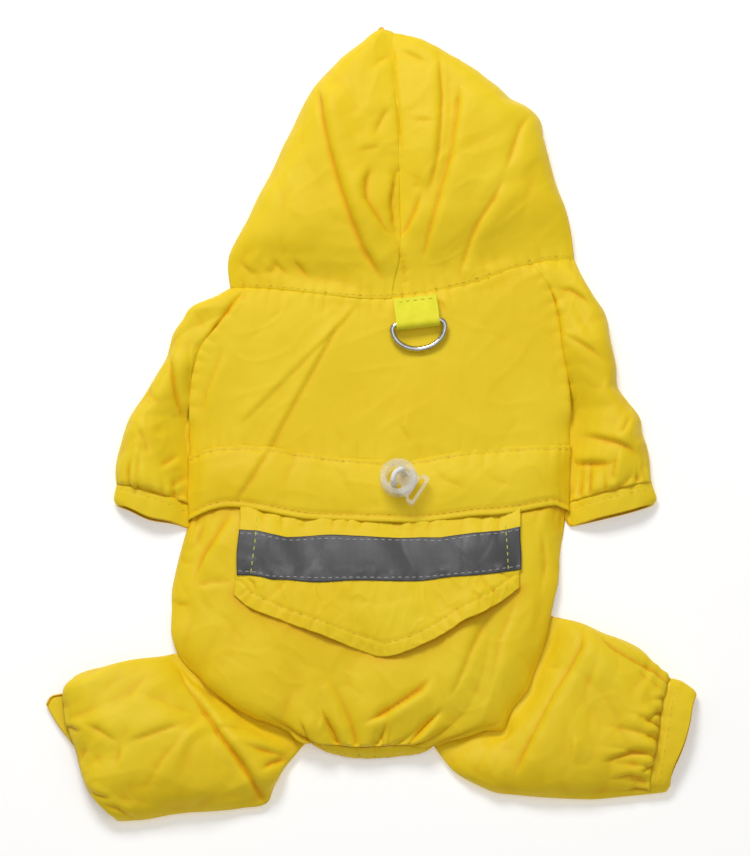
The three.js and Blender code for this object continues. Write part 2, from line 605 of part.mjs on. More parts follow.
// Hood: two halves, from the centre seam over the outer fold to the hem of the face opening underneath
const HOOD_UPPER = 18;
const HOOD_LOWER = 6;
const HOOD_ROWS = 14;
const HOOD_ROW = 'ix iy ox oy seam crown hem';
const HOOD_LEFT = table(HOOD_ROW, [
  [8.7, 56.2, -60.6, 62.0, 9.0, 9.0, 0.04],
  [10.6, 66, -62.4, 73.4, 10.5, 11.8, 0.30],
  [12.2, 76, -59.8, 82.0, 11.4, 13.6, 0.46],
  [12.8, 88, -51.8, 97.4, 11.6, 15.0, 0.50],
  [12.6, 101, -43.6, 113.4, 12.0, 15.6, 0.52],
  [12.6, 114, -36.0, 129.4, 13.0, 15.6, 0.54],
  [12.2, 128, -28.2, 145.4, 14.0, 15.4, 0.56],
  [11.4, 141, -20.6, 156.6, 13.8, 14.4, 0.58],
  [10.2, 153, -10.6, 166.6, 12.4, 12.4, 0.56],
  [9.0, 163.6, -1.6, 173.6, 9.6, 9.4, 0.5],
  [8.3, 171.6, 2.8, 176.0, 5.2, 5.0, 0.4],
]);
const HOOD_RIGHT = table(HOOD_ROW, [
  [8.7, 56.2, 88.0, 75.2, 9.0, 9.0, 0.04],
  [10.6, 66, 86.4, 84.0, 10.5, 12.0, 0.30],
  [12.2, 76, 83.6, 95.6, 11.4, 14.0, 0.46],
  [12.8, 88, 80.0, 108.0, 11.6, 15.4, 0.52],
  [12.6, 101, 76.6, 121.4, 12.0, 16.0, 0.56],
  [12.6, 114, 73.2, 134.4, 13.0, 16.0, 0.60],
  [12.2, 128, 65.4, 145.6, 14.0, 15.6, 0.62],
  [11.4, 141, 53.0, 153.2, 13.8, 14.6, 0.62],
  [10.2, 153, 39.0, 163.6, 12.4, 12.6, 0.58],
  [9.0, 163.6, 23.6, 172.0, 9.6, 9.6, 0.5],
  [8.3, 171.6, 13.0, 176.0, 5.2, 5.0, 0.4],
]);

function hoodHalf(table_, inset) {
  const rows = sections(table_, HOOD_ROWS).map((row) => (
    { ...TUBE_PLAIN, ...row, ix: row.ix + inset, closed: 0 }));
  const relief = (point, j) => foldHeight(point.x, point.y) * smooth(j / 3) * smooth((HOOD_ROWS - j) / 4);
  const fix = (points) => {
    points.slice(0, 4).forEach((row, j) => row.forEach((point, i) => {
      if (j === 0) point.y = neckY(point.x) + SEAM_GAP / 2;
      if (i <= HOOD_UPPER) point.z = mix(neckZ(point.x), point.z, smooth(j / 4));
    }));
  };
  return tube(rows, HOOD_UPPER, HOOD_LOWER, relief, fix);
}

// What lies on the panels

// Height of a panel's outer face under a place, from the triangle that holds it.
function surfaceZ(grid, x, y) {
  for (let j = 0; j < grid.length - 1; j += 1) {
    for (let i = 0; i < grid[0].length - 1; i += 1) {
      const corners = [grid[j][i], grid[j][i + 1], grid[j + 1][i + 1], grid[j + 1][i]];
      for (const [a, b, c] of [[0, 1, 2], [0, 2, 3]].map((three) => three.map((k) => corners[k]))) {
        const area = (b.x - a.x) * (c.y - a.y) - (c.x - a.x) * (b.y - a.y);
        const s = ((x - a.x) * (c.y - a.y) - (c.x - a.x) * (y - a.y)) / area;
        const t = ((b.x - a.x) * (y - a.y) - (x - a.x) * (b.y - a.y)) / area;
        if (s >= 0 && t >= 0 && s + t <= 1) return a.z + s * (b.z - a.z) + t * (c.z - a.z);
      }
    }
  }
  return 0;
}

// Highest point of a panel within reach of a place.
function highest(grid, x, y, reach) {
  const steps = [-1, -0.5, 0, 0.5, 1];
  return Math.max(...steps.flatMap((p) => steps.map((q) => surfaceZ(grid, x + p * reach, y + q * reach))));
}

// Pocket flap: sections from left to right, each from the top edge to the pointed lower edge
const FLAP = table('x top bottom', [
  [-58.4, -45.6, -77.4], [-46, -46.4, -85.4], [-31, -48.4, -91.6], [-17, -50.2, -96.8], [-4, -51.2, -101.4],
  [5, -51.4, -104.4], [15, -50.8, -101.2], [27, -49.6, -96.0], [40, -47.6, -88.0], [53, -45.2, -80.6],
  [65.2, -42.6, -72.6],
]);
const FLAP_SECTIONS = 16;
const FLAP_ROWS = 6;
const TAPE_DROP = 4.0;        // from the flap's top edge to the tape
const TAPE_WIDTH = 20;

function flap(lower) {
  const points = sections(FLAP, FLAP_SECTIONS).map((row) => (
    Array.from({ length: FLAP_ROWS + 1 }, (_, k) => {
      const y = mix(row.top, row.bottom, k / FLAP_ROWS);
      return new THREE.Vector3(row.x, y, highest(lower.outer, row.x, y, 2.4) + FLAP_LIFT + CLOTH);
    })));
  return clothWall(points, { topColumn: 3, normalAt: () => new THREE.Vector3(0, 0, 1) });
}

function tape(flapWall) {
  const grid = flapWall.outer;
  const points = sections(FLAP, FLAP_SECTIONS).map((row) => (
    Array.from({ length: 5 }, (_, k) => {
      const y = row.top - TAPE_DROP - (TAPE_WIDTH * k) / 4;
      const x = Math.min(Math.max(row.x, FLAP[0].x + 0.2), FLAP[FLAP.length - 1].x - 0.2);
      return new THREE.Vector3(x, y, highest(grid, x, y, 1.4) + SEAM_GAP + TAPE);
    })));
  return clothWall(points, { topColumn: 2, thickness: TAPE, normalAt: () => new THREE.Vector3(0, 0, 1) });
}

// A tube of round section along a curve. closedLoop joins its ends.
function roundTube(centres, radius, sides, closedLoop) {
  const count = centres.length;
  const wrap = (k) => (closedLoop ? (k + count) % count : Math.min(Math.max(k, 0), count - 1));
  let side = null;
  const rings = centres.map((centre, k) => {
    const forward = new THREE.Vector3().subVectors(centres[wrap(k + 1)], centres[wrap(k - 1)]).normalize();
    const start = side ?? new THREE.Vector3(0, 0, 1);
    side = start.clone().addScaledVector(forward, -start.dot(forward)).normalize();
    const other = new THREE.Vector3().crossVectors(forward, side);
    return Array.from({ length: sides }, (_, s) => {
      const angle = (2 * Math.PI * s) / sides;
      return centre.clone().addScaledVector(side, radius * Math.cos(angle))
        .addScaledVector(other, radius * Math.sin(angle));
    });
  });
  const positions = rings.flat().flatMap((p) => [p.x, p.y, p.z]);
  const triangles = [];
  for (let k = 0; k < (closedLoop ? count : count - 1); k += 1) {
    for (let s = 0; s < sides; s += 1) {
      const next = (s + 1) % sides;
      const [a, b] = [k * sides + s, k * sides + next];
      const [c, d] = [((k + 1) % count) * sides + next, ((k + 1) % count) * sides + s];
      triangles.push(a, b, c, a, c, d);
    }
  }
  if (!closedLoop) {
    for (let s = 1; s < sides - 1; s += 1) {
      triangles.push(0, s + 1, s);
      const end = (count - 1) * sides;
      triangles.push(end, end + s, end + s + 1);
    }
  }
  const geometry = new THREE.BufferGeometry();
  geometry.setAttribute('position', new THREE.Float32BufferAttribute(positions, 3));
  geometry.setIndex(triangles);
  return outward(geometry);
}

// Leash loop and D-ring. The ring's straight bar lies in the loop's bend.
const LOOP_TURN = THREE.MathUtils.degToRad(6.5);   // how the loop lies askew
const LOOP_LENGTH = 11.6;                          // from the bar to the neck seam
const BAR = { x: 20.4, y: 44.2 };                  // middle of the bar
const RING_REACH = 11.6;                           // from the bar's middle to the arc's
const RING_CORNER = 2.2;                           // bend between the bar and the arc

// The ring's centre line: its bar along X, its arc towards the tail.
function ringCentres() {
  const half = (RING_INSIDE + RING_WIRE) / 2;
  const arc = (count, centreX, from, to, a, b) => Array.from({ length: count }, (_, k) => {
    const angle = mix(from, to, k / (count - 1));
    return new THREE.Vector3(centreX + a * Math.cos(angle), -RING_CORNER + b * Math.sin(angle), 0);
  });
  const cornerX = half - RING_CORNER;
  return [
    ...arc(4, cornerX, Math.PI / 2, 0, RING_CORNER, RING_CORNER),
    ...arc(15, 0, 0, -Math.PI, half, RING_REACH - RING_CORNER).slice(1),
    ...arc(4, -cornerX, Math.PI, Math.PI / 2, RING_CORNER, RING_CORNER).slice(1),
    new THREE.Vector3(0, 0, 0),
  ];
}

// The loop: webbing from the neck seam down round the bar and back up, its two layers closing at the seam.
function loopGeometry() {
  const inner = RING_WIRE / 2 + SEAM_GAP;
  const outer = inner + WEBBING;
  const closed = SEAM_GAP / 2;
  const shape = new THREE.Shape();
  shape.moveTo(LOOP_LENGTH, closed + WEBBING);
  shape.lineTo(0, outer);
  shape.absarc(0, 0, outer, Math.PI / 2, (3 * Math.PI) / 2, false);
  shape.lineTo(LOOP_LENGTH, -closed - WEBBING);
  shape.lineTo(LOOP_LENGTH, -closed);
  shape.lineTo(0, -inner);
  shape.absarc(0, 0, inner, (3 * Math.PI) / 2, Math.PI / 2, true);
  shape.lineTo(LOOP_LENGTH, closed);
  shape.closePath();
  const geometry = new THREE.ExtrudeGeometry(shape, {
    depth: WEBBING_WIDTH,
    bevelEnabled: false,
    curveSegments: 8,
  });
  geometry.translate(0, 0, -WEBBING_WIDTH / 2);
  return geometry.applyMatrix4(new THREE.Matrix4().makeBasis(
    new THREE.Vector3(0, 1, 0), new THREE.Vector3(0, 0, 1), new THREE.Vector3(1, 0, 0)));
}

// Height of the bar over the back, and how far the loop and the ring tilt down from it to lie on the back.
function loopPlace(backGrid) {
  const away = (distance) => [
    BAR.x - distance * Math.sin(LOOP_TURN),
    BAR.y + distance * Math.cos(LOOP_TURN),
  ];
  const barZ = highest(backGrid, BAR.x, BAR.y, 9) + SEAM_GAP + WEBBING + SEAM_GAP + RING_WIRE / 2;
  const seamZ = highest(backGrid, ...away(LOOP_LENGTH - 2), 9) + SEAM_GAP + WEBBING + SEAM_GAP / 2;
  const arcZ = highest(backGrid, ...away(-RING_REACH), 6) + SEAM_GAP + RING_WIRE / 2;
  return {
    barZ,
    loopTilt: Math.asin((barZ - seamZ) / LOOP_LENGTH),
    ringTilt: Math.asin((barZ - arcZ) / RING_REACH),
  };
}

// Cord lock: a round housing with a push button, and the draw cord's bight over it
const LOCK = { x: 11.9, y: -25.4, width: 16.4, height: 7.0, bevel: 0.9 };
const LOCK_TURN = THREE.MathUtils.degToRad(-33);   // the way the button points, from +X
const BUTTON = { width: 11.0, height: 4.2, out: 5.0 };
const BUTTON_TRAVEL = 2.0;
const BUTTON_BACK = 0.9;      // what the button has behind its cord slots
const CORD_SPACING = 7.0;
const CORD_HOLE = 2.9;
const CORD_BEND = 2.0;        // radius where the cord turns up out of the waistband
const BIGHT_HEIGHT = 3.0;     // how far the cord's bight stands over the lock

const wasm = await Module();
wasm.setup();

function toSolid(geometry) {
  const bare = geometry.clone();
  bare.deleteAttribute('normal');
  bare.deleteAttribute('uv');
  const merged = mergeVertices(bare, 1e-4);
  return new wasm.Manifold(new wasm.Mesh({
    numProp: 3,
    vertProperties: new Float32Array(merged.attributes.position.array),
    triVerts: new Uint32Array(merged.index.array),
  }));
}

function fromSolid(solid) {
  const mesh = solid.getMesh();
  const geometry = new THREE.BufferGeometry();
  geometry.setAttribute('position', new THREE.BufferAttribute(new Float32Array(mesh.vertProperties), 3));
  geometry.setIndex(new THREE.BufferAttribute(new Uint32Array(mesh.triVerts), 1));
  geometry.computeVertexNormals();
  return geometry;
}

// A block with rounded corners in plan, from z -height/2 to +height/2.
function roundedBlock(length, width, height, radius) {
  const [a, b] = [length / 2 - radius, width / 2 - radius];
  const shape = new THREE.Shape();
  shape.absarc(a, b, radius, 0, Math.PI / 2);
  shape.absarc(-a, b, radius, Math.PI / 2, Math.PI);
  shape.absarc(-a, -b, radius, Math.PI, (3 * Math.PI) / 2);
  shape.absarc(a, -b, radius, (3 * Math.PI) / 2, 2 * Math.PI);
  shape.closePath();
  const geometry = new THREE.ExtrudeGeometry(shape, { depth: height, bevelEnabled: false, curveSegments: 3 });
  return geometry.translate(0, 0, -height / 2);
}

function cylinder(radius, height, x, y) {
  const geometry = new THREE.CylinderGeometry(radius, radius, height, 12);
  return geometry.rotateX(Math.PI / 2).translate(x, y, 0);
}

function lockHousing() {
  const { width, height, bevel } = LOCK;
  const outline = new THREE.Shape();
  outline.absarc(0, 0, width / 2 - bevel, 0, 2 * Math.PI);
  const body = new THREE.ExtrudeGeometry(outline, {
    depth: height - 2 * bevel,
    bevelSize: bevel,
    bevelThickness: bevel,
    bevelSegments: 1,
    curveSegments: 10,
  });
  body.translate(0, 0, -height / 2 + bevel);
  const room = 2 * SEAM_GAP;
  const cavityBack = -CORD / 2 - SEAM_GAP - BUTTON_BACK - BUTTON_TRAVEL - SEAM_GAP;
  const cavityLength = width / 2 - cavityBack + 1;
  const cavity = roundedBlock(cavityLength, BUTTON.width + room, BUTTON.height + room, 1.0);
  cavity.translate(cavityBack + cavityLength / 2, 0, 0);
  let solid = toSolid(body).subtract(toSolid(cavity));
  for (const side of [-1, 1]) {
    solid = solid.subtract(toSolid(cylinder(CORD_HOLE / 2, height + 2, 0, (side * CORD_SPACING) / 2)));
  }
  return fromSolid(solid);
}

function lockButton() {
  const back = -CORD / 2 - SEAM_GAP - BUTTON_BACK;
  const front = LOCK.width / 2 + BUTTON.out;
  const body = roundedBlock(front - back, BUTTON.width, BUTTON.height, 1.4);
  body.translate((front + back) / 2, 0, 0);
  let solid = toSolid(body);
  const slotLength = CORD + BUTTON_TRAVEL + 2 * SEAM_GAP;
  for (const side of [-1, 1]) {
    const slot = roundedBlock(slotLength, CORD + 2 * SEAM_GAP, BUTTON.height + 2, 1.0);
    slot.translate(BUTTON_TRAVEL / 2, (side * CORD_SPACING) / 2, 0);
    solid = solid.subtract(toSolid(slot));
  }
  return fromSolid(solid);
}

// The housing lies on the waistband, over the slot where the cord comes out.
function lockZ(bandGrid) {
  return highest(bandGrid, LOCK.x, LOCK.y, LOCK.width / 2) + SEAM_GAP + LOCK.height / 2;
}

// Where the cord passes the lock: side is 1 for the hole nearer the neck and -1 for the other.
function cordHole(side) {
  const reach = (side * CORD_SPACING) / 2;
  return new THREE.Vector2(LOCK.x - reach * Math.sin(LOCK_TURN), LOCK.y + reach * Math.cos(LOCK_TURN));
}

// The cord's run in the casing, from one end of the tunnel to the lock and on to the other end.
function cordCentres(back, lockHeight) {
  const bandRows = back.outer.slice(-3, -1);
  const bandNormals = back.normals.slice(-3, -1);
  const inCasing = (i) => bandRows[0][i].clone().add(bandRows[1][i]).multiplyScalar(0.5)
    .addScaledVector(bandNormals[0][i], SEAM_GAP + CORD / 2);
  const columns = Array.from({ length: BODY_COLUMNS - 5 }, (_, k) => k + 3);
  const clearOfLock = LOCK.width / 2;
  const leftRun = columns.map(inCasing).filter((p) => p.x < LOCK.x - clearOfLock);
  const rightRun = columns.map(inCasing).filter((p) => p.x > LOCK.x + clearOfLock);
  const turnUp = (side, z) => {
    const hole = cordHole(side);
    return [0, 0.33, 0.67, 1].map((share) => {
      const angle = (share * Math.PI) / 2;
      const x = hole.x + side * CORD_BEND * (1 - Math.sin(angle));
      return new THREE.Vector3(x, hole.y, z + CORD_BEND * (1 - Math.cos(angle)));
    });
  };
  const [a, b] = [cordHole(-1), cordHole(1)];
  const top = lockHeight + LOCK.height / 2;
  const bight = Array.from({ length: 9 }, (_, k) => {
    const angle = (Math.PI * k) / 8;
    const share = (1 - Math.cos(angle)) / 2;
    const z = top + BIGHT_HEIGHT * Math.sin(angle);
    return new THREE.Vector3(mix(a.x, b.x, share), mix(a.y, b.y, share), z);
  });
  const up = turnUp(-1, leftRun[leftRun.length - 1].z);
  const down = turnUp(1, rightRun[0].z).reverse();
  return [...leftRun, ...up, ...bight, ...down, ...rightRun];
}

// The slot in the waistband under the lock.
function withCordSlot(bandGeometry, lockHeight) {
  const length = CORD_SPACING + CORD + 4 * SEAM_GAP;
  const width = 2 * CORD_BEND + CORD;
  const slot = roundedBlock(width, length, 2 * LOCK.height, 1.2);
  slot.rotateZ(LOCK_TURN).translate(LOCK.x, LOCK.y, lockHeight - LOCK.height);
  return fromSolid(toSolid(bandGeometry).subtract(toSolid(slot)));
}

// Assembly

const garment = new THREE.Group();

function add(name, geometry, { color = YELLOW, metalness = 0, roughness = 0.55, opacity = 1 } = {}) {
  const transparent = opacity < 1;
  const material = new THREE.MeshStandardMaterial({ color, metalness, roughness, opacity, transparent });
  const mesh = new THREE.Mesh(geometry, material);
  mesh.name = name;
  garment.add(mesh);
  return mesh;
}

const upperBack = backUpper();
const lowerBack = backLower();
const band = waistband(upperBack);
const flapWall = flap(lowerBack);
const leftSleeve = sleeve(
  LEFT_SLEEVE_LOW, LEFT_SLEEVE_HIGH, ARMHOLE_LEFT, gathers(5, 0.8, 2.4, 0.4), -SEAM_GAP / 2);
const rightSleeve = sleeve(
  RIGHT_SLEEVE_LOW, RIGHT_SLEEVE_HIGH, ARMHOLE_RIGHT, gathers(5, 0.8, 2.4, 2.0), SEAM_GAP / 2);

add('hood_left', hoodHalf(HOOD_LEFT, -SEAM_GAP / 2).geometry);
add('hood_right', hoodHalf(HOOD_RIGHT, SEAM_GAP / 2).geometry);
add('back_upper', upperBack.geometry);
add('back_lower', lowerBack.geometry);
add('tail_hem', tailHem().geometry);
add('belly_left', belly('l').geometry);
add('belly_right', belly('r').geometry);
add('sleeve_left', leftSleeve.geometry);
add('sleeve_right', rightSleeve.geometry);
add('sleeve_cuff_left', cuff(LEFT_SLEEVE_CUFF, 14, 6).geometry);
add('sleeve_cuff_right', cuff(RIGHT_SLEEVE_CUFF, 14, 6).geometry);
add('leg_left', leg('l', LEFT_LEG, gathers(4, 0.6, 2.2, 1.2)).geometry);
add('leg_right', leg('r', RIGHT_LEG, gathers(5, 0.9, 2.4, 0.2)).geometry);
add('leg_cuff_left', cuff(LEFT_LEG_CUFF, 12, 6).geometry);
add('leg_cuff_right', cuff(RIGHT_LEG_CUFF, 14, 6).geometry);
add('pocket_flap', flapWall.geometry);
add('reflective_tape', tape(flapWall).geometry, { color: 0x63636a, roughness: 0.4 });

const lockHeight = lockZ(band.outer);
add('waistband', withCordSlot(band.geometry, lockHeight));
const cordLine = cordCentres(upperBack, lockHeight);
add('draw_cord', roundTube(cordLine, CORD / 2, 8, false), { color: 0xf2f2ee, roughness: 0.8 });
const plastic = { color: 0xf0f4f4, roughness: 0.1, opacity: 0.45 };
const housing = add('lock_housing', lockHousing(), plastic);
const button = add('lock_button', lockButton(), plastic);
for (const piece of [housing, button]) {
  piece.position.set(LOCK.x, LOCK.y, lockHeight);
  piece.rotation.z = LOCK_TURN;
}

const { barZ, loopTilt, ringTilt } = loopPlace(upperBack.outer);
const loop = add('leash_loop', loopGeometry(), { color: 0xe8e23c, roughness: 0.7 });
const ring = add('d_ring', roundTube(ringCentres(), RING_WIRE / 2, 8, true), {
  color: 0xb8b8b4, metalness: 1, roughness: 0.25,
});
for (const [piece, tilt] of [[loop, -loopTilt], [ring, ringTilt]]) {
  piece.position.set(BAR.x, BAR.y, barZ);
  piece.rotation.set(tilt, 0, LOOP_TURN, 'ZXY');
}

// The origin is under the middle of the whole coat.
const extent = new THREE.Box3().setFromObject(garment, true);
const middle = extent.getCenter(new THREE.Vector3());
garment.position.set(-middle.x, -middle.y, -extent.min.z);

export default garment;
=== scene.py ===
import math

import bpy
import numpy as np
from mathutils import Matrix, Vector
from mathutils.bvhtree import BVHTree


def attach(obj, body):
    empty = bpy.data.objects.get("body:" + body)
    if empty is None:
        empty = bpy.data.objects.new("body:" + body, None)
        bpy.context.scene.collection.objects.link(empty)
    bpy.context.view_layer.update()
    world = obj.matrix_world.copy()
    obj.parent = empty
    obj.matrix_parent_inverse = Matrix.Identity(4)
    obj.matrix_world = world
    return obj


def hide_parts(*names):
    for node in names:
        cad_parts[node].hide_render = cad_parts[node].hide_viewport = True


# A dog's raincoat laid flat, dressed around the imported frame.

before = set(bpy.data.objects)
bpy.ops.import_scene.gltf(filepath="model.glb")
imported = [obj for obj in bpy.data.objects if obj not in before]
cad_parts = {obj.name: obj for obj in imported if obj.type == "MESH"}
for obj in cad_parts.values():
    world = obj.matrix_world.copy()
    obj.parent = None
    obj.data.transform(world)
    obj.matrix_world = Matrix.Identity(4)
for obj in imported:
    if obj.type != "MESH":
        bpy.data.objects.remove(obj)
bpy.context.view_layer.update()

# Millimetres in the tables below, in the source's own coordinates. SHIFT puts them into the frame.
MM = 0.001
SHIFT = np.array([0.1, -1.35, 0.0])
CLOTH = 0.34                  # thickness of the shown cloth
SEAM_LAP = 0.2                # how far each of two pieces runs on past their seam line
LAYER_GAP = 0.01              # between an upper and a lower layer where they meet
FOLD = 2.3                    # height of the middle of an edge fold
CURL = 3.2                    # how far a lower layer curls up towards an edge fold
BOXINESS = 3.4                # how flat the top of a section is
NECK_CROWN = 9.0              # height of the neck seam's middle
SIDE_EDGE = 0.5               # the back's border comes down to the belly's
LAP_EDGE = 3.75               # the lower back's border on a tucked leg
TUCK = 3.2                    # height of a leg where it is tucked in under the lower back
TUCK_MARGIN = 3.2             # how far out past the back's border it stays that low
TUCK_REACH = 6                # and over how much it then rises
GRID = 0.95                   # spacing of the shown cloth's points


def table(columns, rows):
    names = columns.split()
    return [dict(zip(names, row)) for row in rows]


def spline(values, t):
    last = len(values) - 1
    place = min(max(t, 0), 1) * last
    i = min(int(place), last - 1)
    f = place - i
    padded = [2 * values[0] - values[1], *values, 2 * values[last] - values[last - 1]]
    a, b, c, d = padded[i:i + 4]
    return b + 0.5 * f * (c - a + f * (2 * a - 5 * b + 4 * c - d + f * (3 * (b - c) + d - a)))


def section(rows, t):
    return {name: spline([row[name] for row in rows], t) for name in rows[0]}


def sections(rows, count):
    return [section(rows, k / count) for k in range(count + 1)]


def mix(a, b, t):
    return a + (b - a) * t


def clamp(value):
    return np.clip(value, 0, 1)


def smooth(value):
    value = clamp(value)
    return value * value * (3 - 2 * value)


def bell(value, width):
    """1 at 0, falling off on both sides over width."""
    return np.exp(-((value / width) ** 2))


def spread(count):
    return [(1 - math.cos(math.pi * k / count)) / 2 for k in range(count + 1)]


def rise(side, rounded):
    return max(0.0, 1 - abs(side) ** BOXINESS) ** mix(1, 0.5, rounded)


# Tables of the forms, as in the source
NECK = table("x y", [
    [-60.6, 61.6], [-44, 60.2], [-27, 58.0], [-10, 56.0], [9, 55.8],
    [26, 58.2], [43, 62.2], [60, 68.4], [74, 72.6], [88, 74.6],
])
ARMHOLE_LEFT = table("x y z", [
    [-52.4, 60.9, 7.4], [-60, 51.5, 8.2], [-68, 42, 8.0], [-75, 32, 6.8], [-78, 18, 5.4], [-79, 4, 4.2],
])
ARMHOLE_RIGHT = table("x y z", [
    [69.8, 71.3, 8.2], [76, 63, 8.2], [80, 52, 7.6], [83.4, 38, 6.6], [85.6, 24, 5.4], [86.4, 8, 4.2],
])
BODY_ROW = "lx ly lz lround rx ry rz rround bow crown"
BACK_MIDDLE = table(BODY_ROW, [
    [-79.3, -4, SIDE_EDGE, 1, 86.3, 0, SIDE_EDGE, 1, -3.6, 8.8],
    [-79.3, -17, SIDE_EDGE, 1, 86.3, -8, SIDE_EDGE, 1, -3.8, 8.2],
])
BACK_BAND = table(BODY_ROW, [
    [-79.2, -21.5, SIDE_EDGE, 1, 86.1, -12.6, SIDE_EDGE, 1, -4.2, 8.0],
    [-79.0, -36.5, SIDE_EDGE, 1, 85.7, -29, SIDE_EDGE, 1, -5.6, 8.0],
    [-78.8, -41.5, SIDE_EDGE, 1, 85.4, -34, SIDE_EDGE, 1, -6.0, 8.2],
])
BACK_LOWER = table(BODY_ROW, [
    [-78.8, -41.5, SIDE_EDGE, 1, 85.4, -34, SIDE_EDGE, 1, -6.0, 8.2],
    [-81, -50, SIDE_EDGE, 1, 83.6, -43, SIDE_EDGE, 1, -6.0, 10.1],
    [-84, -60, SIDE_EDGE, 1, 82, -54, SIDE_EDGE, 1, -6.0, 11.4],
    [-86.4, -71, SIDE_EDGE, 1, 81, -65, SIDE_EDGE, 1, -5.5, 12.4],
    [-87, -82, SIDE_EDGE, 1, 80, -75, 2.8, 1, -5.0, 13.1],
    [-86.4, -93, 2.4, 1, 78, -86, LAP_EDGE, 1, -4.5, 13.4],
    [-82, -104, LAP_EDGE, 0.8, 75, -98, LAP_EDGE, 1, -4.0, 13.2],
    [-70, -115, LAP_EDGE, 0.5, 70, -111, LAP_EDGE, 1, -4.0, 12.6],
    [-55, -125, LAP_EDGE, 0.4, 61, -125, LAP_EDGE, 1, -4.0, 11.3],
    [-41, -133, LAP_EDGE, 0.4, 46, -135, LAP_EDGE, 1, -3.8, 9.5],
    [-28, -139, LAP_EDGE, 1, 28, -141.5, LAP_EDGE, 1, -3.4, 7.4],
])
TAIL_HEM = table(BODY_ROW, [
    [-27, -139.6, LAP_EDGE, 1, 27, -142.1, LAP_EDGE, 1, -3.4, 7.2],
    [-25, -141.6, 3.6, 1, 25, -144, 3.6, 1, -3.6, 5.4],
    [-21, -143.6, 2.0, 1, 21, -145.8, 2.0, 1, -3.6, 2.6],
])
BELLY_EDGE = table("lx ly rx ry middleY", [
    [-78.6, -8, 85.8, -6, -6], [-78.4, -40, 85, -34, -38], [-82.6, -60, 81.6, -52, -58],
    [-85.8, -76, 80, -68, -76], [-85, -91, 79.2, -77.5, -92],
])
CLOSURE = table("x", [[9], [6.6], [5.2], [4.2], [3.2], [2.6]])
LEFT_SLEEVE_LOW = table("ox oy ix iy crown", [
    [-110.4, -25.6, -79.7, -35.2, 8.2], [-111, -21, -79.8, -29, 10.0], [-110.4, -13, -80, -20, 11.4],
    [-107, -1, -80.2, -8, 11.6], [-101.5, 9.5, -80.2, 0, 10.6],
])
LEFT_SLEEVE_HIGH = table("ox oy crown", [
    [-96.5, 18, 9.6], [-91.8, 25.8, 9.0], [-88.2, 32.6, 8.8], [-86.8, 39.5, 8.8], [-82.6, 46.4, 8.4],
    [-73.5, 54, 7.6], [-60.8, 61.4, 6.0],
])
RIGHT_SLEEVE_LOW = table("ox oy ix iy crown", [
    [123.6, -25.2, 87.0, -33.8, 7.8], [122.6, -19, 87.0, -27, 9.6], [120.4, -11, 87.0, -17, 11.2],
    [118, -3, 87.0, -8, 11.6], [116.4, 3, 86.9, 1, 11.0],
])
RIGHT_SLEEVE_HIGH = table("ox oy crown", [
    [112, 11.5, 10.4], [108.8, 20, 10.0], [105.6, 32, 9.8], [102.2, 45, 9.6], [97.4, 56.5, 9.2],
    [92.4, 66, 8.6], [88, 74.4, 7.4],
])
LEFT_SLEEVE_CUFF = table("ox oy ix iy crown", [
    [-110.6, -26.4, -76.6, -36.6, 8.0], [-111.8, -29.6, -76.8, -41.2, 7.6], [-112.4, -33.2, -77.4, -45.8, 7.2],
])
RIGHT_SLEEVE_CUFF = table("ox oy ix iy crown", [
    [123.8, -26.0, 84.0, -35.0, 7.6], [124.4, -30.0, 84.2, -39.8, 7.2], [124.8, -34.4, 84.6, -44.8, 6.8],
])
LEG_ROW = "ix iy ox oy crown bow shiftX shiftY"
LEFT_LEG = table(LEG_ROW, [
    [-132.6, -115.0, -114.6, -172.6, 6.0, 7.5, 8.6, 3.0],
    [-130.0, -111.8, -111.6, -174.2, 10.4, 6.0, 7.0, 2.4],
    [-124.4, -108.6, -104.4, -174.0, 13.4, 3.6, 4.0, 1.4],
    [-116, -106.4, -91, -172.2, 14.6, 1, 1.4, 0.4],
    [-106, -104.4, -78, -170.8, 14.8, 0, 0, 0],
    [-97, -102.6, -65.4, -169.6, 14.0, 0, 0, 0],
    [-91, -101.4, -56, -168.4, 12.2, 0, 0, 0],
    [-87.6, -100.7, -49.4, -167.0, 12.8, 0, 0, 0],
    [-86.0, -100.3, -43.6, -161.0, 13.0, 1, 0, 0],
    [-84.6, -100.3, -38.0, -151.4, 12.0, 2, 0, 0],
    [-83.0, -100.6, -32.6, -145.0, 11.0, 3, 0, 0],
    [-81.2, -101.0, -29.0, -141.0, 8.0, 4, 0, 0],
    [-75.0, -96.6, -25.0, -137.0, TUCK, 4, 0, 0],
])
RIGHT_LEG = table(LEG_ROW, [
    [128.4, -112.6, 121.4, -162.6, 8.6, 0, 0, 0],
    [124.8, -108.4, 117.0, -163.2, 10.8, 0, 0, 0],
    [118.4, -102.2, 108.6, -164.0, 13.2, 0, 0, 0],
    [109.6, -96.4, 97.0, -164.8, 15.0, 0, 0, 0],
    [100.6, -91.4, 85.4, -164.6, 15.4, 0, 0, 0],
    [93.4, -87.6, 74.0, -164.0, 15.0, 0, 0, 0],
    [88.6, -86.0, 63.4, -163.2, 14.0, -1, 0, 0],
    [85.4, -85.4, 53.4, -162.2, 12.8, -2, 0, 0],
    [83.2, -85.0, 44.4, -159.4, 12.0, -3, 0, 0],
    [81.4, -84.6, 36.4, -153.6, 11.0, -4, 0, 0],
    [79.6, -84.4, 30.4, -146.2, 9.0, -5, 0, 0],
    [73.6, -81.0, 25.6, -139.6, TUCK, -5, 0, 0],
])
RIGHT_LEG_CUFF = table("ix iy ox oy crown", [
    [129.4, -113.0, 122.0, -162.6, 8.4], [135, -115.2, 127.6, -161.8, 8.0], [141, -117.4, 132.4, -160.4, 7.4],
])
